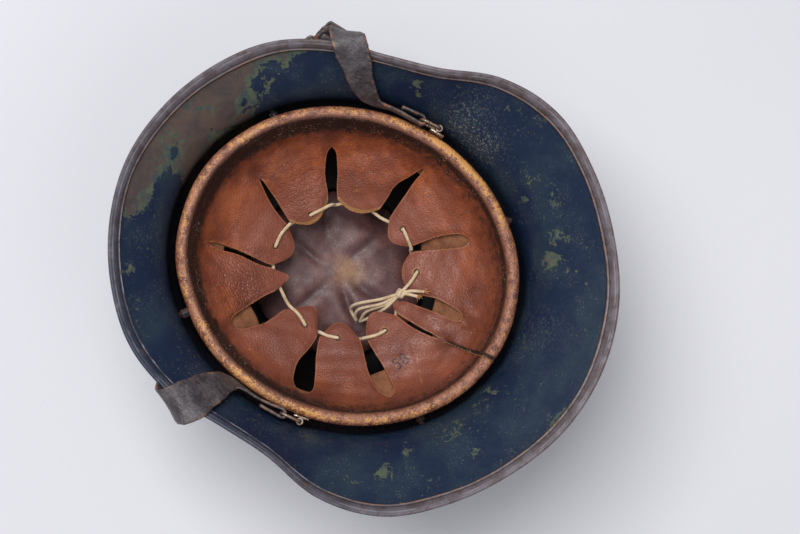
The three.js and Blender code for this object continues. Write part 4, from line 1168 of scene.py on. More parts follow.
SLOTS = [SlotRow(*row) for row in [
    (13.8, 15.1, 21.5, 86, 1.9, 1.3, 1.6, 0.8, 76), (50.8, 51.6, 49.7, 78.4, 5.6, 7.2, 7.4, 6.4, 62),
    (94.8, 92.4, 94, 82, 7.2, 6, 2.4, 0.7, 80), (133, 131.6, 130.6, 84.4, 5.5, 5.2, 3.2, 1.9, 68),
    (168, 165.7, 165.2, 74, 1, 1.3, 1.2, 0.6, 70), (181, 183, 182.2, 80.4, 3.8, 4.4, 3.7, 3.2, 62),
    (217.2, 219.7, 221.2, 80.4, 4.7, 4.3, 2.8, 1.7, 52),
    (255.8, 258.9, 257.5, 79, 1.8, 4.6, 4, 4.2, 76), (300.3, 301.5, 302, 76, 3.4, 4.1, 3, 3, 78),
    (337.4, 340, 343.2, 76.8, 1.3, 2.3, 1.9, 1.2, 78),
]]


class TongueRow(NamedTuple):
    """A tongue after the slot of the same row: its tip's radius, how high its middle stands, and its hole."""

    tip: float
    rise: float
    hole_angle: float
    hole_radius: float
    pink: float


TONGUES = [TongueRow(*row) for row in [
    (34, 2, 0, 0, 0.3), (29, 3, 79.2, 42, 0.45), (33, 3, 109.2, 42.9, 0.4), (33, 3, 148.6, 46.5, 0.5),
    (39, 1, 0, 0, 0.4), (38, 3, 202.6, 46.9, 0.35), (36, 4, 238.1, 45.8, 0.25), (38, 2, 0, 0, 0.1),
    (35, 3, 324.2, 40.3, 0.15), (33, 3, 364.6, 45, 0.2),
]]
CURLED_TIPS = (7, 8)
WORN_HOLES = (3, 5)

# The tongues' section: shares of the ring's radius, and the heights there
BOWL_REACHES = (0.26, 0.4, 0.54, 0.68, 0.8, 0.87, 0.905)
BOWL_HEIGHTS = (54, 60, 68.5, 77.5, 86, 95, 104)
BOWL_EDGE = BOWL_REACHES[-1]


class Crease(NamedTuple):
    """A fold in the leather between two places in plan."""

    x1: float
    y1: float
    x2: float
    y2: float
    width: float
    depth: float
    tan: float


CREASES = [Crease(*row) for row in [
    (25, 51, 36, 60, 1.4, 0.7, 0.5), (38, 61, 46, 66, 1.1, 0.5, 0.6),
    (15, 70, 16.5, 96, 1.1, 1.7, 0.0), (21, 71, 21.5, 92, 0.9, 0.5, 0.1),
    (28, -82, 22, -94, 2.2, 0.9, 0.0), (14, -76, -2, -86, 2.6, 0.8, 0.0),
    (-12, 74, -6, 86, 2.5, 1.1, 0.1), (-20, 76, -26, 88, 2.5, 0.9, 0.0),
    (-4, 60, 4, 84, 2.2, 0.8, 0.0), (-56, -40, -66, -44, 2.4, 0.9, 0.0),
    (-44, -52, -54, -70, 5.0, 1.0, 0.0), (-46, 8, -74, 12, 4.0, 0.8, 0.0),
    (-52, 40, -62, 56, 4.5, 0.9, 0.0), (56, -14, 76, -16, 4.0, 0.7, 0.0),
    (50, 28, 70, 40, 4.0, 0.7, 0.0), (-26, -66, -36, -84, 4.0, 0.9, 0.0),
]]


def beside_crease(points: Array, crease: Crease) -> Pair:
    """How far along a crease points lie, as a share, and how far from it.

    Args:
        points: places.
        crease: the crease.

    Returns:
        The shares and the distances.
    """
    start = np.array([crease.x1, crease.y1])
    way = np.array([crease.x2, crease.y2]) - start
    share = np.clip((points[..., :2] - start) @ way / (way @ way), 0, 1)
    return share, np.linalg.norm(points[..., :2] - start - share[..., None] * way, axis=-1)


def crease_depth(points: Array, key: str) -> Array:
    """The creases' depth or tan amount at points, the strongest of them.

    Args:
        points: places.
        key: the column, depth or tan.

    Returns:
        One value for each point.
    """
    total = np.zeros(points.shape[:-1])
    for crease in CREASES:
        distance = beside_crease(points, crease)[1]
        total = np.maximum(total, getattr(crease, key) * hill(distance, crease.width))
    return total


@dataclass
class LeatherLiner:
    """The leather rolled round the ring, down the wall and cut into ten tongues."""

    outline: HelmetOutline
    columns: int = 38
    leather: float = 2.0
    roll: float = 8.0
    opening: float = 45.0
    hole: float = 1.9
    last_shared_reach: float = 0.62
    wall_top: float = 113.2

    def bowl_height(self, reach: Array) -> Array:
        """Height of the bowl at a share of the ring's radius, with its corners rounded.

        Args:
            reach: share of the ring's radius.

        Returns:
            The heights.
        """
        slope = (BOWL_HEIGHTS[-1] - BOWL_HEIGHTS[-2]) / (BOWL_EDGE - BOWL_REACHES[-2])
        samples = []
        for at in [reach + shift for shift in np.linspace(-0.045, 0.045, 7)]:
            beyond = slope * np.maximum(at - BOWL_EDGE, 0)
            samples.append(np.interp(at, BOWL_REACHES, BOWL_HEIGHTS) + beyond)
        return np.mean(samples, axis=0)

    def tongue_at(self, angle: Array) -> Pair:
        """The tongue that an angle falls on, by row, and how far across it.

        Args:
            angle: degrees round the helmet.

        Returns:
            The row, and the share across it.
        """
        angle = np.asarray(angle, float)
        starts = np.array([slot.start for slot in SLOTS])
        folded = (angle - starts[0]) % 360 + starts[0]
        row = np.clip(np.searchsorted(starts, folded, side="right") - 1, 0, len(SLOTS) - 1)
        widths = (np.roll(starts, -1) - starts) % 360
        return row, (folded - starts[row]) / widths[row]

    def height(self, angle: Array, reach: Array) -> Array:
        """Height of the leather's upper face, with each tongue a little higher along its middle."""
        row, across = self.tongue_at(angle)
        rises = np.array([tongue.rise for tongue in TONGUES])
        fade = 1 - smooth_step(0.5, 0.85, reach)
        return self.bowl_height(reach) + rises[row] * fade * np.sin(math.pi * across)

    def slot_share(self, slot: SlotRow, radius: Array) -> Array:
        """How far in along a slot a radius lies, 0 at its outer end."""
        return (slot.outer - radius) / (slot.outer - self.opening)

    def slot_angle(self, slot: SlotRow, radius: Array) -> Array:
        """Angle of a slot's middle line at a radius, with its bend rounded."""
        share = self.slot_share(slot, radius)
        bends = [slot.start, slot.bend, slot.end]
        shifts = (-0.1, -0.04, 0.04, 0.1)
        return np.mean([np.interp(share + shift, [0, 0.5, 1], bends) for shift in shifts], axis=0)

    def slot_half(self, slot: SlotRow, radius: Array) -> Array:
        """Half the slot's width at a radius, nothing beyond its outer end.

        Args:
            slot: the slot's row.
            radius: distance from the dome's axis.

        Returns:
            The half widths.
        """
        shares = [0, 0.02, 0.06, 0.12, 0.2, 0.5, 0.75, 1]
        near = slot.near
        halves = [0, 0.34 * near, 0.66 * near, 0.88 * near, near, slot.middle, slot.late, slot.mouth]
        share = self.slot_share(slot, radius)
        blur = 0.1 * smooth_step(0.04, 0.3, share)
        samples = [np.interp(share + blur * shift, shares, halves, left=0) for shift in (-1, -0.5, 0, 0.5, 1)]
        return np.mean(samples, axis=0)

    def edge_angle(self, slot: SlotRow, radius: Array, side: int) -> Array:
        """Angle of a slot's edge: side is 1 for its far edge and -1 for its near one."""
        return self.slot_angle(slot, radius) + side * self.slot_half(slot, radius) / radius / DEGREE

    def section(self) -> list[tuple[float, float, float]]:
        """The ring's section from its outer foot over the roll to the wall's foot.

        Returns:
            For each row the distance in from the ring's edge, the height, and a share of the wall below it.
        """
        half = self.roll / 2
        top = self.outline.ring_top - half
        rows = [(0.0, height, 0.0) for height in np.linspace(top - 7, top - 0.8, 5)]
        for turn in np.linspace(0, 180, 17) * DEGREE:
            rows.append((half - half * math.cos(turn), top + half * math.sin(turn), 0.0))
        rows += [(self.roll, self.wall_top, share) for share in np.linspace(0.12, 0.94, 7)]
        return rows

    def patch(self, row: int) -> tuple[Array, Values]:
        """One tongue with its stretch of the ring.

        Args:
            row: the tongue's row.

        Returns:
            Points over rows and columns, and named values for each point.
        """
        left, right = SLOTS[row], SLOTS[(row + 1) % len(SLOTS)]
        far = 360.0 if right.start < left.start else 0.0
        steps = np.linspace(0, 1, self.columns)
        across = steps - 0.11 * np.sin(2 * math.pi * steps)
        angle = lerp(left.start, right.start + far, across)
        points, values = [], {key: [] for key in ("roll", "valley", "reach", "edge", "tip")}

        def add(at: Array, radius: Array, height: Array, **given: Array) -> None:
            """Adds a row of points and its named values."""
            points.append(self.outline.place(at, radius, height))
            for key, store in values.items():
                store.append(given.get(key, 0) + np.zeros(self.columns))

        ring = self.outline.ring(angle)
        for inwards, height, share in self.section():
            radius = lerp(ring - inwards, BOWL_EDGE * ring, share)
            foot = self.bowl_height(np.array(BOWL_EDGE))
            level = lerp(height, foot, share) if share else height
            add(angle, radius, level, roll=1 - smooth_step(0.1, 0.6, share), edge=9, reach=1,
                valley=hill((level - self.wall_top + 3.0), 6.8) * (inwards > self.roll * 0.62), tip=30)
        for reach in np.linspace(BOWL_EDGE, self.last_shared_reach, 34):
            sides = [self.outline.ring(slot.start) * reach for slot in (left, right)]
            low = self.edge_angle(left, sides[0], 1)
            high = self.edge_angle(right, sides[1], -1) + far
            at = lerp(low, high, across)
            radius = self.outline.ring(at) * reach
            is_cut = [radius < slot.outer for slot in (left, right)]
            gap = radius * (high - low) * DEGREE
            near_left = np.where(is_cut[0], across * gap, 9)
            edge = np.minimum(near_left, np.where(is_cut[1], (1 - across) * gap, 9))
            add(at, radius, self.height(at, reach), edge=edge, reach=reach, tip=30,
                valley=hill((BOWL_EDGE - reach) * 95, 5) * 0.6)
        start = self.last_shared_reach * ring
        tip = lerp(TONGUES[row].tip, self.opening, np.abs(2 * across - 1) ** 2.4)
        for share in np.linspace(0, 1, 30)[1:]:
            radius = lerp(start, tip, share)
            low = self.edge_angle(left, radius, 1)
            high = self.edge_angle(right, radius, -1) + far
            at = lerp(low, high, across)
            gap = radius * (high - low) * DEGREE
            to_tip = (1 - share) * (start - tip)
            edge = np.minimum(np.minimum(across, 1 - across) * gap, to_tip)
            add(at, radius, self.height(at, radius / self.outline.ring(at)), edge=edge, tip=to_tip,
                reach=radius / self.outline.ring(at))
        return np.array(points), {key: np.array(store) for key, store in values.items()}

    def relief(self, points: Array, values: Values) -> Array:
        """How far the leather stands above its plain form: camber, puckers, creases and waves.

        Args:
            points: places.
            values: the patch's named values.

        Returns:
            One height for each point.
        """
        reach = values["reach"]
        on_tongue = 1 - smooth_step(0.84, 0.9, reach)
        lift = -0.9 * hill(values["edge"], 2.2) * on_tongue
        lift += 1.1 * ripple(points, 30, 11) * on_tongue
        lift += 0.34 * ripple(points, 10, 12) * on_tongue
        lift -= crease_depth(points, "depth")
        for slot in SLOTS:
            foot = self.outline.place(slot.start, slot.outer + 2.5, 0)
            distance = from_place(points, foot[0], foot[1])
            lift -= 1.3 * hill(distance, 4.0) - 0.7 * hill(distance - 7, 3.0)
        diagonal = points[..., 0] * 0.62 + points[..., 1] * 0.78
        wrinkles = np.sin(diagonal * 2 * math.pi / 3.4 + ripple(points, 14, 5))
        lift += 0.16 * wrinkles * self.wrinkle_zone(points)
        return lift

    def wrinkle_zone(self, points: Array) -> Array:
        """Where fine diagonal wrinkles run: the front tongues most, the rest a little."""
        near = hill(from_place(points, 34, -62), 20)
        second = hill(from_place(points, -36, -50), 16)
        return np.clip(near + 0.6 * second + 0.08, 0, 1)

    def finish_values(self, points: Array, values: Values, row: int) -> Values:
        """Named values for the shader, from where each point lies.

        Args:
            points: places.
            values: the patch's named values.
            row: the tongue's row.

        Returns:
            The shader's values by name.
        """
        angle, radius = self.outline.polar(points)
        outwards = (radius - self.outline.ring(angle)) / self.roll
        left_and_top = hill(turned(angle, -20), 85) + 0.5 * hill(turned(angle, 75), 40)
        # The valley's painted shade and soiling are stronger on the left and the top.
        valley = values["valley"] * (0.45 + 0.55 * np.clip(left_and_top, 0, 1))
        top_right = hill(turned(angle, -112), 26)
        bottom = hill(turned(angle, 100), 50)
        crown = hill(outwards + 0.36, 0.38) * values["roll"]
        gold = crown * (0.16 + 0.16 * left_and_top + 0.36 * top_right + 0.22 * bottom)
        pink = TONGUES[row].pink + 0.5 * smooth_step(0.8, 0.45, values["reach"]) * (values["reach"] < 0.9)
        tan = crease_depth(points, "tan")
        # A dark line along the seam joins the valley's painted shade and soiling.
        seam = hill(np.hypot(points[..., 0] - 15.8, 0), 1.3) * smooth_step(69, 72, points[..., 1])
        valley = np.maximum(valley, 0.8 * seam * (values["reach"] < 1.01))
        if row in CURLED_TIPS:
            tan = np.maximum(tan, 0.75 * hill(np.maximum(values["tip"] - 1.5, 0), 1.6))
        if row in WORN_HOLES:
            hole = self.outline.place(TONGUES[row].hole_angle, TONGUES[row].hole_radius, 0)
            away = from_place(points, hole[0], hole[1])
            tan = np.maximum(tan, 0.6 * hill(away - 2.4, 1.5))
        return {
            "roll": values["roll"], "dirt_and_shade": valley, "gold": gold, "pink": pink, "tan": tan,
            "edge": values["edge"], "wrinkle": self.wrinkle_zone(points), "shade_and_dark_patches": self.shade_and_dark_patches(points, values),
        }

    def shade_and_dark_patches(self, points: Array, values: Values) -> Array:
        """Where the leather is darker: painted shade along the wall and round the slots' ends, and darker
        patches on the left, the right and low down.

        Args:
            points: places.
            values: the patch's named values.

        Returns:
            One share for each point.
        """
        left = hill(from_place(points, 62, -8), 46)
        right = hill(from_place(points, -20, 88), 34)
        wall = hill(values["reach"] - 0.93, 0.06) * (1 - values["roll"])
        ends = np.zeros(points.shape[:-1])
        for slot in SLOTS:
            foot = self.outline.place(slot.start, slot.outer + 4, 0)
            ends = np.maximum(ends, hill(from_place(points, foot[0], foot[1]), 6))
        clouds = 0.25 * ripple(points, 33, 77)
        low = hill(from_place(points, 70, 60), 50)
        return np.clip(0.5 * left + 0.6 * right + 0.4 * low + 0.5 * wall + 0.5 * ends + clouds, 0, 1)

    def build(self) -> Piece:
        """Makes the leather and puts it in the CAD ring's and tongues' place.

        Returns:
            The leather.
        """
        all_points, all_faces, stores = [], [], []
        first = 0
        for row in range(len(TONGUES)):
            points, values = self.patch(row)
            shader = self.finish_values(points, values, row)
            lift = self.relief(points, values)
            level = points[..., 2] + lift
            swell = 0.22 * ripple(points, 17, 21) * values["roll"]
            points[..., 2] = level + swell
            points[..., :2] += self.ring_wander(points, values)
            faces = grid_faces(points.shape[0], points.shape[1], False, first)
            all_points.append(points.reshape(-1, 3))
            all_faces += self.without_hole(faces, all_points, first, row)
            stores.append({key: value.ravel() for key, value in shader.items()})
            first += points.shape[0] * points.shape[1]
        attributes = {key: np.concatenate([store[key] for store in stores]) for key in stores[0]}
        piece = make_mesh("liner_tongues_leather", np.vstack(all_points), all_faces, attributes)
        self.weld(piece)
        edges = {"use_rim": True, "material_offset": 1, "material_offset_rim": 1}
        modify(piece, "SOLIDIFY", thickness=self.leather * MM, offset=-1, **edges)
        round_edges(piece, 0.35, 2, 60)
        flesh = RawLeather("liner_flesh", paint(150, 100, 64), paint(112, 70, 46)).build()
        dress(piece, LinerLeather().build(), flesh)
        settle(piece)
        settle_in(piece, Slot.LINER, "liner_ring", "liner_leather")
        return piece

    def ring_wander(self, points: Array, values: Values) -> Array:
        """Small sideways waves of the roll, in plan."""
        outwards = unit(points[..., :2] - np.array([0, self.outline.centre_y]))
        return outwards * (0.25 * ripple(points, 38, 8) * values["roll"])[..., None]

    def without_hole(self, faces: list, all_points: list, first: int, row: int) -> list:
        """Leaves out the faces over a tongue's lacing hole, and rounds the hole's edge.

        Args:
            faces: the patch's faces.
            all_points: points of the patches, this one's last.
            first: number of the patch's first vertex.
            row: the tongue's row.

        Returns:
            The faces that stay.
        """
        tongue = TONGUES[row]
        if not tongue.hole_radius:
            return faces
        points = all_points[-1]
        middle = self.outline.place(tongue.hole_angle, tongue.hole_radius, 0)[:2]
        away = points[:, :2] - middle
        distance = np.linalg.norm(away, axis=1)
        corners = np.array(faces) - first
        in_hole = distance[corners].min(axis=1) < self.hole * 0.8
        edge = np.setdiff1d(corners[in_hole].ravel(), np.flatnonzero(distance < self.hole * 0.8))
        kept = corners[~in_hole]
        edge = np.intersect1d(edge, kept.ravel())
        points[edge, :2] = middle + unit(away[edge]) * self.hole
        return [tuple(face) for face in kept + first]

    def weld(self, piece: Piece) -> None:
        """Joins the tongues' patches where they meet, and turns their faces up.

        Args:
            piece: the piece.
        """
        work = bmesh.new()
        work.from_mesh(piece.data)
        bmesh.ops.remove_doubles(work, verts=work.verts, dist=0.02 * MM)
        loose = [vertex for vertex in work.verts if not vertex.link_faces]
        bmesh.ops.delete(work, geom=loose, context="VERTS")
        lowest = min(work.faces, key=lambda face: face.calc_center_median().z)
        if lowest.normal.z < 0:
            bmesh.ops.reverse_faces(work, faces=work.faces)
        work.to_mesh(piece.data)
        work.free()


@dataclass
class LinerBand:
    """The tan band inside the roll, turned in under the tongues."""

    outline: HelmetOutline
    liner: LeatherLiner
    around: int = 240
    inset: float = 3.0
    thickness: float = 2.0
    top: float = 113.6
    outer_foot: float = 87
    inner_foot: float = 90
    gap: float = 3.0

    def skirt(self, angle: Array, share: float, below: float) -> Pair:
        """A point of the turned-in skirt, from 0 at the band to 1 at its inner edge.

        Args:
            angle: degrees round the helmet.
            share: 0 at the band and 1 at the inner edge.
            below: distance under the upper face.

        Returns:
            The radii and the heights.
        """
        row, across = self.liner.tongue_at(angle)
        backing = np.array([slot.backing for slot in SLOTS])
        edge = lerp(backing[row], np.roll(backing, -1)[row], smooth_step(0, 1, across))
        outer = self.outline.ring(angle) - self.inset - 9
        radius = lerp(outer, edge, share)
        level = self.liner.bowl_height(radius / self.outline.ring(angle))
        return radius, level - self.liner.leather - self.gap - below

    def build(self) -> None:
        """Makes the band and puts it in the CAD band's place."""
        angles = np.arange(self.around) * 360 / self.around
        outer = self.outline.ring(angles) - self.inset
        inner = outer - self.thickness
        rows = [(outer, 0 * angles + height) for height in np.linspace(self.outer_foot, self.top, 8)]
        rows += [(inner, 0 * angles + height) for height in np.linspace(self.top, self.inner_foot, 8)]
        rows += [self.skirt(angles, share, 0) for share in np.linspace(0.15, 1, 14)]
        rows += [self.skirt(angles, share, self.thickness) for share in np.linspace(1, 0.1, 14)]
        points = np.array([self.outline.place(angles, *row) for row in rows])
        points[..., 2] += 0.3 * ripple(points, 24, 31) * smooth_step(88, 80, points[..., 2])
        faces = grid_faces(len(rows), self.around, True)
        last = (len(rows) - 1) * self.around
        for i in range(self.around):
            j = (i + 1) % self.around
            faces.append((last + i, last + j, j, i))
        piece = make_mesh("liner_band_leather", points.reshape(-1, 3), faces)
        face_outwards(piece)
        dress(piece, RawLeather("band_leather", paint(152, 102, 72), paint(104, 66, 48)).build())
        settle_in(piece, Slot.BAND, "liner_band")


# The crown pad


@dataclass
class CrownPad:
    """The soft leather cushion in the crown, drawn together by folds."""

    outline: HelmetOutline
    around: int = 120
    rings: int = 26
    depth: float = 24.0
    shrink: float = 0.965
    swell_cap: float = 3.0
    mesh_step: float = 3.5
    pressure: float = 4
    swell_frames: int = 20

    def form(self) -> Piece:
        """The closed form before it is filled.

        Returns:
            The form.
        """
        low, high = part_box("crown_pad")
        across = (high.x - low.x) / 2 / MM * self.shrink
        along = (high.y - low.y) / 2 / MM * self.shrink
        angles = np.arange(self.around) * 360 / self.around
        edge = ellipse(angles, across, along)
        shares = np.linspace(0.04, 1, self.rings)
        rows = []
        for share in shares:
            radius = edge * share
            top = lerp(self.depth, self.floor(angles, edge) + 4.5, share**4)
            rows.append(self.outline.place(angles, radius, top))
        for share in shares[::-1]:
            radius = edge * share * 0.975
            rows.append(self.outline.place(angles, radius, self.floor(angles, radius)))
        poles = self.outline.place(0, 0, np.array([self.depth, self.floor(np.array(0.0), np.array(0.0))]))
        points = np.vstack([np.array(rows).reshape(-1, 3), poles])
        piece = make_mesh("crown_pad_leather", points, closed_faces(len(rows), self.around))
        face_outwards(piece)
        return piece

    def floor(self, angle: Array, radius: Array) -> Array:
        """Height of the pad's underside, just clear of the dome."""
        wall = self.outline.ring(angle) + self.outline.shell_gap
        turn = np.arcsin(np.clip(radius / wall, 0, 1)) * 2 / math.pi
        return self.outline.dome(angle, turn, 0)[1] + 1.1

    def fill(self, piece: Piece) -> None:
        """Swells the form with Blender's cloth under pressure, and holds it within a cap.

        Args:
            piece: the piece.
        """
        before = vertex_places(piece)
        cloth = modify(piece, "CLOTH")
        cloth.settings.use_pressure = True
        cloth.settings.uniform_pressure_force = self.pressure
        cloth.settings.effector_weights.gravity = 0
        cloth.settings.quality = 6
        scene = bpy.context.scene
        for step in range(1, self.swell_frames + 1):
            scene.frame_set(step)
        settle(piece)
        scene.frame_set(1)
        moved = vertex_places(piece) - before
        length = np.maximum(np.linalg.norm(moved, axis=1, keepdims=True), 1e-9)
        move_vertices(piece, before + moved * np.minimum(1, self.swell_cap / length))

    def sculpt(self, piece: Piece) -> None:
        """Presses in the folds and keeps the pad clear of the dome.

        Args:
            piece: the piece.
        """
        modify(piece, "SUBSURF", levels=2, render_levels=2)
        settle(piece)
        places = vertex_places(piece)
        is_top = smooth_step(8, 15, places[:, 2])
        folds = np.zeros(len(places))
        tan = np.zeros(len(places))
        for fold in PAD_FOLDS:
            share, distance = beside_crease(places, fold)
            taper = np.sin(math.pi * np.clip(share, 0.06, 0.94))
            folds = np.maximum(folds, hill(distance, fold.width) * taper)
            places[:, 2] -= is_top * taper * fold.depth * hill(distance, fold.width)
            beside = hill(distance - fold.width * 2.2, fold.width * 1.4)
            places[:, 2] += is_top * taper * fold.depth * 0.5 * beside
            tan = np.maximum(tan, fold.tan * hill(distance - fold.width * 1.4, fold.width * 1.6))
        places[:, 2] += is_top * (0.8 * ripple(places, 34, 41) + 0.12 * ripple(places, 11, 42))
        angle, radius = self.outline.polar(places)
        places[:, 2] = np.maximum(places[:, 2], self.floor(angle, radius) - 0.6)
        move_vertices(piece, places)
        # The round tan patch in the middle is a painted highlight.
        tan = np.maximum(0.8 * tan, 0.72 * hill(from_place(places, -4, -1), 18))
        shade_smooth(piece.data, {"fold": folds * is_top, "tan": tan})

    def build(self) -> None:
        """Makes the pad and puts it in the CAD pad's place."""
        piece = self.form()
        modify(piece, "REMESH", mode="VOXEL", voxel_size=self.mesh_step * MM)
        settle(piece)
        self.fill(piece)
        self.sculpt(piece)
        dress(piece, PadLeather().build())
        settle_in(piece, Slot.PAD, "crown_pad")


PAD_FOLDS = [Crease(*row) for row in [
    (4, -4, 30, 22, 3.0, 1.5, 0.35), (2, 0, 6, 36, 3.4, 1.2, 0.3), (-8, -6, -36, 10, 3.2, 1.0, 0.35),
    (0, -14, -8, -44, 3.0, 1.1, 0.4), (6, -10, 38, -24, 3.4, 1.2, 0.25),
    (-14, -22, -40, -32, 3.4, 0.9, 0.2),
]]


# The drawstring


@dataclass
class Drawstring:
    """The cord that laces the tongues' tips, with its knot, its bow and its frayed tails."""

    outline: HelmetOutline
    liner: LeatherLiner
    radius: float = 1.05
    sides: int = 12
    step: float = 0.55

    def beside(self, angle: float, radius: float, gap: float) -> Array:
        """A point above the leather's upper face, or below it for a gap under 0."""
        height = self.liner.height(np.array(angle), np.array(radius / self.outline.ring(angle)))
        return self.outline.place(angle, radius, height + gap)

    def over(self, angle: float, radius: float, lift: float = 0.0) -> Array:
        """A point of the cord's middle above the leather."""
        return self.beside(angle, radius, self.radius + 0.35 + lift)

    def under(self, angle: float, radius: float, drop: float = 0.0) -> Array:
        """A point of the cord's middle below the leather."""
        return self.beside(angle, radius, -self.liner.leather - self.radius - 0.5 - drop)

    def down(self, tongue: TongueRow) -> list[Array]:
        """Down through a tongue's hole."""
        at = (tongue.hole_angle, tongue.hole_radius)
        return [self.over(*at, 0.1), self.under(*at, 0.1)]

    def up(self, slot: SlotRow, radius: float) -> list[Array]:
        """Up through a slot, from under one tongue to over the next."""
        angle = float(self.liner.slot_angle(slot, np.array(radius)))
        aside = max(slot.mouth - self.radius - 0.2, 0) / radius / DEGREE
        return [self.under(angle - aside, radius, 0.3), self.over(angle + aside, radius, 0.1)]

    def route(self) -> list[Array]:
        """The cord's way round the opening, as the CAD cord lies.

        Returns:
            The points in order.
        """
        t, s = TONGUES, SLOTS
        return [
            self.over(182.5, 39.5, 1.5), self.over(194, 43.5, 0.6), *self.down(t[5]),
            self.under(213, 46, 0.8), *self.up(s[6], 45.5), *self.down(t[6]), self.under(248, 43.5, 0.5),
            self.under(257, 42, 1), self.under(272, 42.5, 0.8), self.under(290, 43, 0.5),
            *self.up(s[8], 42), self.over(314, 40.5, 0.2), *self.down(t[8]), self.under(334, 42.5, 0.8),
            *self.up(s[9], 44.2), self.over(354, 45, 0.2), *self.down(t[9]), self.under(378, 44, 0.5),
            self.under(392, 42.5, 0.5), *self.up(s[1], 40.5), self.over(428, 39.5, 0.4), *self.down(t[1]),
            *self.up(s[2], 41.8), self.over(101, 42.6, 0.3), *self.down(t[2]), self.under(122, 44, 0.4),
            *self.up(s[3], 45), self.over(142, 46.2, 0.2), *self.down(t[3]), self.under(160, 45.5, 0.4),
            self.under(170, 42.5, 2.4), self.outline.place(181, 38, 56.0),
        ]

    def bow(self, knot: Array) -> list[list]:
        """The bow's two loops, out and back, and the two tails.

        Args:
            knot: the knot's middle.

        Returns:
            The points of each strand.
        """
        upper_end, lower_end = (24, 16, 38), (23.5, 18.5, 37)
        return [
            [knot, (6, 24, 58), (15.5, 10.5, 49), (19, 9.5, 42), upper_end],
            [knot, (8, 26, 56.5), (17.5, 14, 46.5), (21.5, 14, 40.5), upper_end],
            [knot, (7, 28.5, 57), (17, 19, 46), lower_end],
            [knot, (9.5, 29, 56), (20, 22, 42.5), lower_end],
            [knot, self.over(187, 45, 1.4), self.over(189, 53, 0.8)],
            [knot, self.over(184, 45, 2.2), self.over(184.5, 50, 1.6)],
        ]

    def knot_wraps(self, knot: Array) -> list[Array]:
        """Three turns of cord round the knot, each a closed loop.

        Args:
            knot: the knot's middle.

        Returns:
            The points of each turn.
        """
        wraps = []
        turns = np.linspace(0, 2 * math.pi, 40)
        for tilt, shift, size in ((0.2, -1.3, 1.9), (-0.25, 0.2, 2.2), (0.15, 1.6, 1.8)):
            out, up = size * np.cos(turns), size * 0.9 * np.sin(turns)
            wraps.append(knot + np.stack([out, shift + tilt * size * np.sin(turns), up], axis=1))
        return wraps

    def frayed(self, end: Array, way: Array, seed: int) -> list[Array]:
        """Loose fibres that spread from a cut end.

        Args:
            end: the cut end.
            way: the cord's direction there.
            seed: fixes the fibres.

        Returns:
            Three points for each fibre.
        """
        random = np.random.default_rng(seed)
        fibres = []
        for _ in range(16):
            spread = unit(way + random.normal(size=3) * 0.33)
            reach = random.uniform(2.0, 4.2)
            start = end + random.normal(size=3) * 0.4
            middle = start + spread * reach * 0.5
            fibres.append(np.array([start, middle, start + spread * reach + random.normal(size=3) * 0.25]))
        return fibres

    def build(self) -> None:
        """Makes the cord and puts it in the CAD cord's place."""
        route = self.route()
        knot = route[0]
        strands = [(self.even(through(np.array(route), 24)), self.radius, 0.0)]
        tails = []
        for points in self.bow(knot):
            line = self.even(through(np.array([np.asarray(p, float) for p in points]), 24))
            strands.append((line, self.radius * 0.96, 0.0))
            tails.append(line)
        strands += [(wrap, self.radius, 0.0) for wrap in self.knot_wraps(knot)]
        for number, line in enumerate(tails[4:]):
            for fibre in self.frayed(line[-1], unit(line[-1] - line[-4]), 50 + number):
                strands.append((through(fibre, 4), 0.13, 1.0))
        points, faces, values = [], [], {"along": [], "around": [], "fray": []}
        first = 0
        for line, radius, fray in strands:
            sides = 5 if fray else self.sides
            places, skin, along, around = tube(line, radius, sides, 0.0 if fray else 0.09)
            faces += [tuple(first + i for i in face) for face in skin]
            points.append(places)
            values["along"].append(along)
            values["around"].append(around)
            values["fray"].append(np.full(len(places), fray))
            first += len(places)
        attributes = {key: np.concatenate(store) for key, store in values.items()}
        piece = make_mesh("drawstring_cord", np.vstack(points), faces, attributes)
        dress(piece, CordCotton().build())
        settle_in(piece, Slot.CORD, "drawstring")

    def even(self, line: Array) -> Array:
        """The line's points at even steps."""
        length = lengths_along(line)
        at = np.linspace(0, length[-1], max(int(length[-1] / self.step), 8))
        return np.stack([np.interp(at, length, line[:, k]) for k in range(3)], axis=1)


# The chin strap


class StrapRow(NamedTuple):
    """A strap station inside the brim. facing is 180 towards the middle and 90 up."""

    angle: float
    radius: float
    height: float
    facing: float
    width: float


STRAP_LEFT = [StrapRow(*row) for row in [
    (80, 97.3, 122.5, 180, 9), (74, 98, 122.8, 176, 10), (69.5, 99.6, 124, 162, 11),
    (66.8, 104, 134, 150, 16), (65.2, 113, 146.3, 138, 21), (64.2, 123.5, 156.2, 118, 25),
    (63.2, 131.4, 158, 80, 25), (61.4, 136.4, 151.6, 10, 22),
]]
STRAP_RIGHT = [StrapRow(*row) for row in [
    (-83, 97.3, 122.5, 180, 9), (-78, 98, 123, 176, 10), (-73.5, 100, 125, 162, 11),
    (-70, 105, 136, 148, 14), (-67.4, 113.5, 147.5, 136, 17), (-65.4, 122.8, 155.6, 118, 20),
    (-64, 131, 157.6, 80, 21),
]]


class OutsideRow(NamedTuple):
    """A strap station on the outside of the shell."""

    angle: float
    height: float
    standoff: float


STRAP_OUTSIDE = [OutsideRow(*row) for row in [
    (57.5, 139, 4), (51, 127, 2.6), (43, 116, 2.9), (33, 106, 2.9), (22, 101, 2), (11, 98, 1.6),
    (0, 97, 1.6),
]]


class Station(NamedTuple):
    """A place on a strap: its middle, the way its face points, and its width."""

    middle: Array
    facing: Array
    width: float


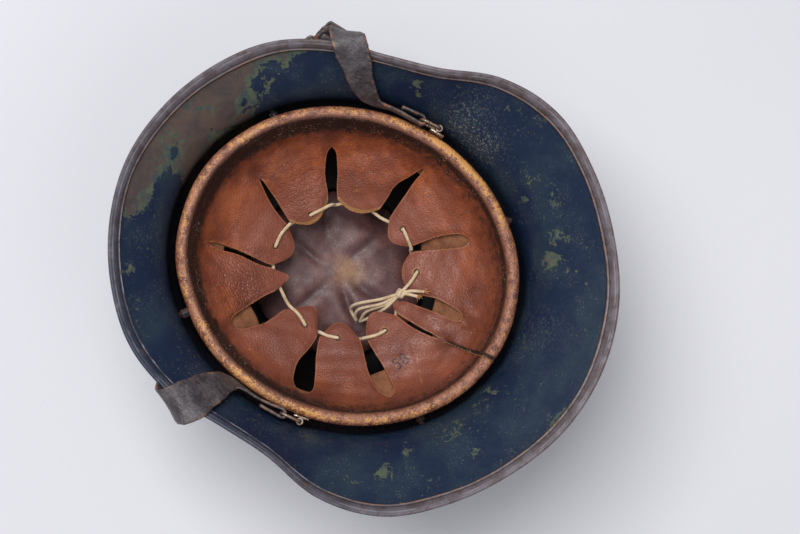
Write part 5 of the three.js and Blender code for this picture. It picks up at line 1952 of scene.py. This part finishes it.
@dataclass
class ChinStrap:
    """The two leathers of the chin strap, buckled together round the front of the shell."""

    outline: HelmetOutline
    thickness: float = 1.8
    width: float = 18.0
    wire: float = 1.1
    clearance: float = 0.3
    bale_left: float = 89.0
    bale_right: float = -92.0
    bale_middle: float = 122.5
    bale_out: float = 2.9
    buckle_angle: float = -56.6
    buckle_height: float = 136.4
    buckle_length: float = 18.0
    buckle_level: float = 4.0

    def facing_at(self, angle: float, facing: float) -> Array:
        """The way a face points at an angle round the helmet."""
        outwards = self.outline.place(angle, 1, 0) - self.outline.place(angle, 0, 0)
        made = outwards * math.cos(facing * DEGREE)
        made[2] = math.sin(facing * DEGREE)
        return made

    def outside_at(self, angle: float, height: float, standoff: float) -> Pair:
        """The shell's outer face at a height: a point off it and the way it faces.

        Args:
            angle: degrees round the helmet.
            height: height above the crown.
            standoff: distance off the face.

        Returns:
            The point, and the way the face points.
        """
        o = self.outline

        def point(s: float) -> Array:
            """Radius and height on the outer face: dome up to 1, brim beyond."""
            made = o.dome(angle, s, o.sheet) if s < 1 else o.brim(angle, s - 1, o.sheet)
            return np.array([float(made[0]), float(made[1])])

        low, high = 0.0, 2.0
        for _ in range(30):
            middle = (low + high) / 2
            low, high = (middle, high) if point(middle)[1] < height else (low, middle)
        here, after = point(low), point(low + 0.01)
        facing = math.degrees(math.atan2(here[0] - after[0], after[1] - here[1]))
        radius = here[0] + standoff * math.cos(facing * DEGREE)
        level = height + standoff * math.sin(facing * DEGREE)
        return o.place(angle, radius, level), self.facing_at(angle, facing)

    def inside(self, row: StrapRow) -> Station:
        """A station of the tables inside the brim."""
        middle = self.outline.place(row.angle, row.radius, row.height)
        return Station(middle, self.facing_at(row.angle, row.facing), row.width)

    def outside(self, row: OutsideRow, side: int) -> Station:
        """A station of the table outside, on the left for a side of 1."""
        middle, facing = self.outside_at(side * row.angle, row.height, row.standoff)
        return Station(middle, facing, self.width)

    def in_ring_frame(self, angle: float, outwards: float, along: float, height: float) -> Array:
        """A point beside the ring: outwards from it, along it, and at a height."""
        o = self.outline
        edge = o.place(angle, float(o.ring(angle)), 0)
        out = unit(np.array([edge[0] / o.ring_across**2, (edge[1] - o.centre_y) / o.ring_along**2, 0]))
        return edge + out * outwards + np.cross([0, 0, 1], out) * along + np.array([0, 0, height])

    def fold(self, wire: Array, onwards: Array, up: Array, width: float) -> list[Station]:
        """Stations of a strap folded round a wire.

        Args:
            wire: the wire's middle.
            onwards: away from the strap.
            up: the side where the fold starts.
            width: width of the strap.

        Returns:
            The stations.
        """
        bend = self.wire + self.clearance + self.thickness / 2
        made = []
        for turn in np.linspace(90, -90, 9) * DEGREE:
            facing = onwards * math.cos(turn) + up * math.sin(turn)
            made.append(Station(wire + facing * bend, facing, width))
        return made

    def bale_fold(self, angle: float) -> list[Station]:
        """The strap's end, folded back round a bale.

        Args:
            angle: degrees round the helmet.

        Returns:
            The stations.
        """
        side = math.copysign(1, angle)
        wire = self.in_ring_frame(angle, self.bale_out, 0, self.bale_middle)
        onwards = self.in_ring_frame(angle, self.bale_out, side, self.bale_middle) - wire
        up = self.in_ring_frame(angle, self.bale_out - 1, 0, self.bale_middle) - wire
        end = self.in_ring_frame(angle - side * 8, self.bale_out + 2.1, 0, self.bale_middle)
        return [Station(end, -up, 9), *self.fold(wire, onwards, up, 9)[::-1]]

    def buckle_frame(self) -> Pair:
        """The buckle's place on the shell, and its axes along, across and away.

        Returns:
            The place, and the axes as rows.
        """
        middle, facing = self.outside_at(self.buckle_angle, self.buckle_height, 0)
        front = self.outside_at(self.buckle_angle + 5.6, self.buckle_height - 9.4, 0)[0]
        rear = self.outside_at(self.buckle_angle - 4, self.buckle_height + 8, 0)[0]
        along = unit(front - rear)
        across = unit(np.cross(facing, along))
        return middle, np.array([along, across, np.cross(along, across)])

    def at_buckle(self, along: float, up: float) -> Station:
        """A station in the buckle's frame."""
        middle, axes = self.buckle_frame()
        return Station(middle + along * axes[0] + up * axes[2], axes[2], self.width)

    def long_stations(self) -> list[Station]:
        """Stations of the long leather, from the left bale round the front to its free end.

        Returns:
            The stations.
        """
        front = [self.outside(row, 1) for row in STRAP_OUTSIDE]
        across = [self.outside(row, -1) for row in STRAP_OUTSIDE[2:-1][::-1]]
        ends = [(17, 1.5), (10, 1.6), (6, 2), (0, 5.2), (-5.5, 8), (-10, 8.8), (-17, 9), (-22, 8.4)]
        free = [self.at_buckle(along, up) for along, up in ends]
        inside = [self.inside(row) for row in STRAP_LEFT]
        return [*self.bale_fold(self.bale_left), *inside, *front, *across, *free]

    def short_stations(self) -> list[Station]:
        """Stations of the short leather, from the right bale over the rim and round the buckle's bar.

        Returns:
            The stations.
        """
        middle, axes = self.buckle_frame()
        pivot = middle - axes[0] * self.buckle_length / 2 + axes[2] * self.buckle_level
        fold = self.fold(pivot, axes[0], axes[2], self.width)
        over_rim = [self.inside(row) for row in STRAP_RIGHT]
        over_rim += [self.at_buckle(-23.5, 3.2), self.at_buckle(-15, 6.4)]
        return [*self.bale_fold(self.bale_right), *over_rim, *fold, self.at_buckle(-16, 1.6)]

    def loft(self, name: str, stations: list[Station], seed: int) -> Piece:
        """A strap over stations, with rounded and slightly ragged edges.

        Args:
            name: the piece's name.
            stations: where the strap passes.
            seed: fixes its waves and its ragged edges.

        Returns:
            The strap as an object.
        """
        between = 7
        middles = through(np.array([s.middle for s in stations]), between)
        rows = len(middles)
        at = np.arange(rows) / between
        facings = np.array([s.facing for s in stations])
        index = np.arange(len(stations))
        facing = np.stack([np.interp(at, index, facings[:, k]) for k in range(3)], axis=1)
        width = np.interp(at, index, [s.width for s in stations])
        tangents = unit(np.gradient(middles, axis=0))
        across = unit(np.cross(facing, tangents))
        up = np.cross(tangents, across)
        turns = np.linspace(-90, 90, 5) * DEGREE
        flats = np.linspace(0.9, -0.9, 9)
        half = self.thickness / 2
        section = [(1, math.cos(t), math.sin(t)) for t in turns]
        section += [(share, 0, 1) for share in flats]
        section += [(-1, math.cos(t + math.pi), math.sin(t + math.pi)) for t in turns]
        section += [(share, 0, -1) for share in -flats]
        waves = 0.22 * ripple(middles, 14, seed) + 0.06 * ripple(middles, 5, seed + 1)
        columns = []
        for side, out, lift in section:
            edge_seed = seed + (3 if side > 0 else 4)
            ragged = 0.2 * ripple(middles, 4, edge_seed) + 0.34 * ripple(middles, 14, edge_seed + 9)
            ragged = ragged * abs(side)
            reach = side * (width / 2 - half) + math.copysign(1, side) * ragged + out * half
            curl = 0.9 * side * side * np.sin(at * 0.9 + seed)
            height = lift * half + np.clip(curl * 0.4 + waves * (1 - 0.4 * abs(side)), -0.6, 0.9)
            columns.append(middles + across * reach[:, None] + up * height[:, None])
        points = np.stack(columns, axis=1)
        side_values = np.tile([abs(s) if not o else 1.0 for s, o, _ in section], rows)
        ends = np.array([points[0].mean(axis=0), points[-1].mean(axis=0)])
        points = np.vstack([points.reshape(-1, 3), ends])
        values = {"side": np.append(side_values, [1, 1])}
        piece = make_mesh(name, points, closed_faces(rows, len(section)), values)
        face_outwards(piece)
        return piece

    def build(self) -> None:
        """Makes both leathers and puts them in the CAD leathers' places."""
        finish = StrapLeather().build()
        long = self.loft("chin_strap_long_leather", self.long_stations(), 61)
        dress(long, finish)
        settle_in(long, Slot.STRAP, "chin_strap_long")
        short = self.loft("chin_strap_short_leather", self.short_stations(), 71)
        dress(short, finish)
        settle_in(short, Slot.STRAP, "chin_strap_short")


@dataclass
class Fittings:
    """The buckle, bales, anchors and pins: the CAD solids with their edges rounded."""

    wires: tuple[str, ...] = ("strap_buckle", "strap_bale_left", "strap_bale_right")
    plates: tuple[str, ...] = ("strap_anchor_left", "strap_anchor_right")
    pins: int = 4

    def copy_of(self, node: str) -> Piece:
        """A merged copy of a CAD node's mesh."""
        piece = add_object(node + "_dressed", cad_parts[node].data.copy())
        face_outwards(piece, 0.01 * MM)
        return piece

    def rounded(self, node: str, width: float, finish: Material, slot: Slot) -> None:
        """Rounds a node's edges and dresses it.

        Args:
            node: name of the CAD node.
            width: width of the rounding.
            finish: its material.
            slot: a material slot.
        """
        piece = self.copy_of(node)
        round_edges(piece, width, 3, 28)
        dress(piece, finish)
        settle(piece)
        shade_smooth(piece.data, {})
        settle_in(piece, slot, node)

    def build(self) -> None:
        """Makes every fitting."""
        steel = FittingSteel("strap_steel", paint(150, 140, 128)).build()
        painted = FittingSteel("pin_steel", paint(42, 48, 62), metallic=0.1).build()
        for node in self.wires:
            self.rounded(node, 0.45, steel, Slot.STEEL)
        for node in self.plates:
            self.rounded(node, 0.25, steel, Slot.STEEL)
        for number in range(1, self.pins + 1):
            self.rounded(f"liner_pin_{number}", 0.5, painted, Slot.PIN)


# Small work on the leather: the seam's stitches and the size number


@dataclass
class SurfaceFinder:
    """Finds the leather's upper face below a place in plan."""

    tree: BVHTree

    @classmethod
    def over(cls, piece: Piece) -> "SurfaceFinder":
        """Reads a piece's mesh."""
        work = bmesh.new()
        work.from_mesh(piece.data)
        made = cls(BVHTree.FromBMesh(work))
        work.free()
        return made

    def top(self, x: float, y: float, default: float = 80.0) -> float:
        """Height of the face at a place in plan, all in millimetres."""
        hit = self.tree.ray_cast(Vector((x, y, 200)) * MM, Vector((0, 0, -1)))[0]
        return hit.z / MM if hit else default


@dataclass
class SeamStitches:
    """A row of yellowish stitches along the leather's join, laid by geometry nodes."""

    surface: SurfaceFinder
    spacing: float = 2.6
    length: float = 1.9
    thread_radius: float = 0.28
    shortest: float = 0.82
    longest: float = 1.12
    seed: int = 5

    def line(self, shift: float) -> Array:
        """Points of a row of stitches on the leather."""
        ys = np.linspace(70.5, 95, 40)
        xs = 14 + shift + (ys - 70) * 0.055
        return np.array([(x, y, self.surface.top(x, y) + 0.12) for x, y in zip(xs, ys)])

    def tree(self, finish: Material) -> bpy.types.NodeTree:
        """Nodes that lay one stitch at each spacing along an edge line.

        Args:
            finish: the thread's material.

        Returns:
            The node tree, with Spacing, Stitch Length and Seed as inputs.
        """
        tree = bpy.data.node_groups.new("seam_stitches", "GeometryNodeTree")
        sockets = {"Geometry": "Geometry", "Spacing": "Float", "Stitch Length": "Float", "Seed": "Int"}
        for name, kind in sockets.items():
            tree.interface.new_socket(name, in_out="INPUT", socket_type="NodeSocket" + kind)
        tree.interface.new_socket("Geometry", in_out="OUTPUT", socket_type="NodeSocketGeometry")
        add, link = tree.nodes.new, tree.links.new
        start, end = add("NodeGroupInput"), add("NodeGroupOutput")
        curve, points = add("GeometryNodeMeshToCurve"), add("GeometryNodeCurveToPoints")
        points.mode = "LENGTH"
        link(start.outputs["Geometry"], curve.inputs["Mesh"])
        link(curve.outputs["Curve"], points.inputs["Curve"])
        link(start.outputs["Spacing"], points.inputs["Length"])
        stitch = add("GeometryNodeMeshCylinder")
        stitch.inputs["Vertices"].default_value = 6
        stitch.inputs["Radius"].default_value = self.thread_radius * MM
        link(start.outputs["Stitch Length"], stitch.inputs["Depth"])
        jitter = add("FunctionNodeRandomValue")
        jitter.inputs[2].default_value = self.shortest
        jitter.inputs[3].default_value = self.longest
        link(start.outputs["Seed"], jitter.inputs["Seed"])
        lay, real = add("GeometryNodeInstanceOnPoints"), add("GeometryNodeRealizeInstances")
        dress_node = add("GeometryNodeSetMaterial")
        link(points.outputs["Points"], lay.inputs["Points"])
        link(points.outputs["Rotation"], lay.inputs["Rotation"])
        link(stitch.outputs["Mesh"], lay.inputs["Instance"])
        link(jitter.outputs[1], lay.inputs["Scale"])
        link(lay.outputs["Instances"], real.inputs["Geometry"])
        link(real.outputs["Geometry"], dress_node.inputs["Geometry"])
        dress_node.inputs["Material"].default_value = finish
        link(dress_node.outputs["Geometry"], end.inputs["Geometry"])
        return tree

    def build(self) -> None:
        """Makes the stitches."""
        points = self.line(2.0) * MM
        edges = [(i, i + 1) for i in range(len(points) - 1)]
        mesh = bpy.data.meshes.new("seam_stitches")
        mesh.from_pydata(points.tolist(), edges, [])
        piece = add_object("seam_stitches", mesh)
        thread = RawLeather("seam_thread", paint(176, 134, 82), paint(118, 82, 50)).build()
        modifier = modify(piece, "NODES", node_group=self.tree(thread))
        sizes = {"Spacing": self.spacing * MM, "Stitch Length": self.length * MM, "Seed": self.seed}
        for item in modifier.node_group.interface.items_tree:
            if item.in_out == "INPUT" and item.name in sizes:
                modifier[item.identifier] = sizes[item.name]
        settle(piece)
        settle_in(piece, Slot.LINER)


@dataclass
class SizeNumber:
    """A plain size number in ink on a rear tongue."""

    surface: SurfaceFinder
    digits: str = "58"
    height: float = 8.0
    x: float = 38.5
    y: float = 49.5
    turn: float = 149.0
    ink: float = 0.07

    def build(self) -> None:
        """Makes the digits as a thin skin on the leather."""
        curve = bpy.data.curves.new("size_number", "FONT")
        curve.body = self.digits
        curve.size = self.height * 1.36 * MM
        curve.align_x = "CENTER"
        curve.align_y = "CENTER"
        text = add_object("size_number_text", curve)
        bpy.context.view_layer.update()
        graph = bpy.context.evaluated_depsgraph_get()
        mesh = bpy.data.meshes.new_from_object(text.evaluated_get(graph))
        bpy.data.objects.remove(text)
        work = bmesh.new()
        work.from_mesh(mesh)
        bmesh.ops.triangulate(work, faces=work.faces)
        for _ in range(3):
            longest = [edge for edge in work.edges if edge.calc_length() > 0.9 * MM]
            bmesh.ops.subdivide_edges(work, edges=longest, cuts=1)
            bmesh.ops.triangulate(work, faces=work.faces)
        spin = Matrix.Rotation(self.turn * DEGREE, 4, "Z")
        for vertex in work.verts:
            place = spin @ vertex.co
            x, y = place.x / MM + self.x, place.y / MM + self.y
            vertex.co = Vector((x, y, self.surface.top(x, y) + self.ink)) * MM
        work.to_mesh(mesh)
        work.free()
        piece = add_object("size_number", mesh)
        modify(piece, "SOLIDIFY", thickness=0.12 * MM, offset=-1)
        dress(piece, StampInk().build())
        settle(piece)
        settle_in(piece, Slot.LINER)


# The studio


@dataclass
class Studio:
    """A pale floor, a soft key light from the upper left, a dim fill, and the camera."""

    key_power: float = 36.0
    sky: float = 0.37

    def build(self) -> None:
        """Makes the floor, the lights and the camera."""
        half = 2500.0
        corners = np.array([(-half, -half, 0), (half, -half, 0), (half, half, 0), (-half, half, 0)])
        floor = make_mesh("floor", corners, [(0, 1, 2, 3)])
        dress(floor, PaleFloor().build())
        self.light("key", (-0.22, -0.7, 2.0), 1.1, self.key_power)
        self.light("fill", (0.7, 0.9, 1.8), 1.2, self.key_power * 0.12)
        world = bpy.data.worlds.new("studio")
        world.use_nodes = True
        background = world.node_tree.nodes["Background"]
        background.inputs["Color"].default_value = (0.93, 0.95, 1.0, 1.0)
        background.inputs["Strength"].default_value = self.sky
        bpy.context.scene.world = world
        bpy.context.scene.view_settings.view_transform = "Standard"
        self.camera()

    def light(self, name: str, place: tuple, size: float, power: float) -> None:
        """An area light that points at the helmet.

        Args:
            name: its name.
            place: its place in metres.
            size: its side in metres.
            power: its power in watts.
        """
        data = bpy.data.lights.new(name, "AREA")
        data.size = size
        data.energy = power
        lamp = add_object(name, data)
        lamp.location = place
        lamp.rotation_euler = (Vector((0, 0, 0.1)) - Vector(place)).to_track_quat("-Z", "Y").to_euler()

    def camera(self) -> None:
        """The camera of the photograph, above the helmet that lies on its crown."""
        right = Vector((-0.4034003, 0.9085452, 0.1086912))
        down = Vector((0.9099359, 0.4108260, -0.0569091))
        ahead = Vector((-0.0963576, 0.0759449, -0.9924453))
        data = bpy.data.cameras.new("camera")
        data.sensor_width = 36
        data.lens = 84.765
        data.clip_end = 20
        camera = add_object("camera", data)
        turn = Matrix((right, -down, -ahead)).transposed().to_4x4()
        camera.matrix_world = Matrix.Translation((0.098327, -0.064834, 1.249626)) @ turn
        bpy.context.scene.camera = camera


def main() -> None:
    """Builds every piece in order."""
    logging.basicConfig(level=logging.INFO, format="%(name)s: %(message)s")
    outline = HelmetOutline.from_frame()
    Studio().build()
    SteelShell(outline).build()
    liner = LeatherLiner(outline)
    leather = liner.build()
    LinerBand(outline, liner).build()
    CrownPad(outline).build()
    Drawstring(outline, liner).build()
    ChinStrap(outline).build()
    Fittings().build()
    surface = SurfaceFinder.over(leather)
    SeamStitches(surface).build()
    SizeNumber(surface).build()


if __name__ == "__main__":
    main()
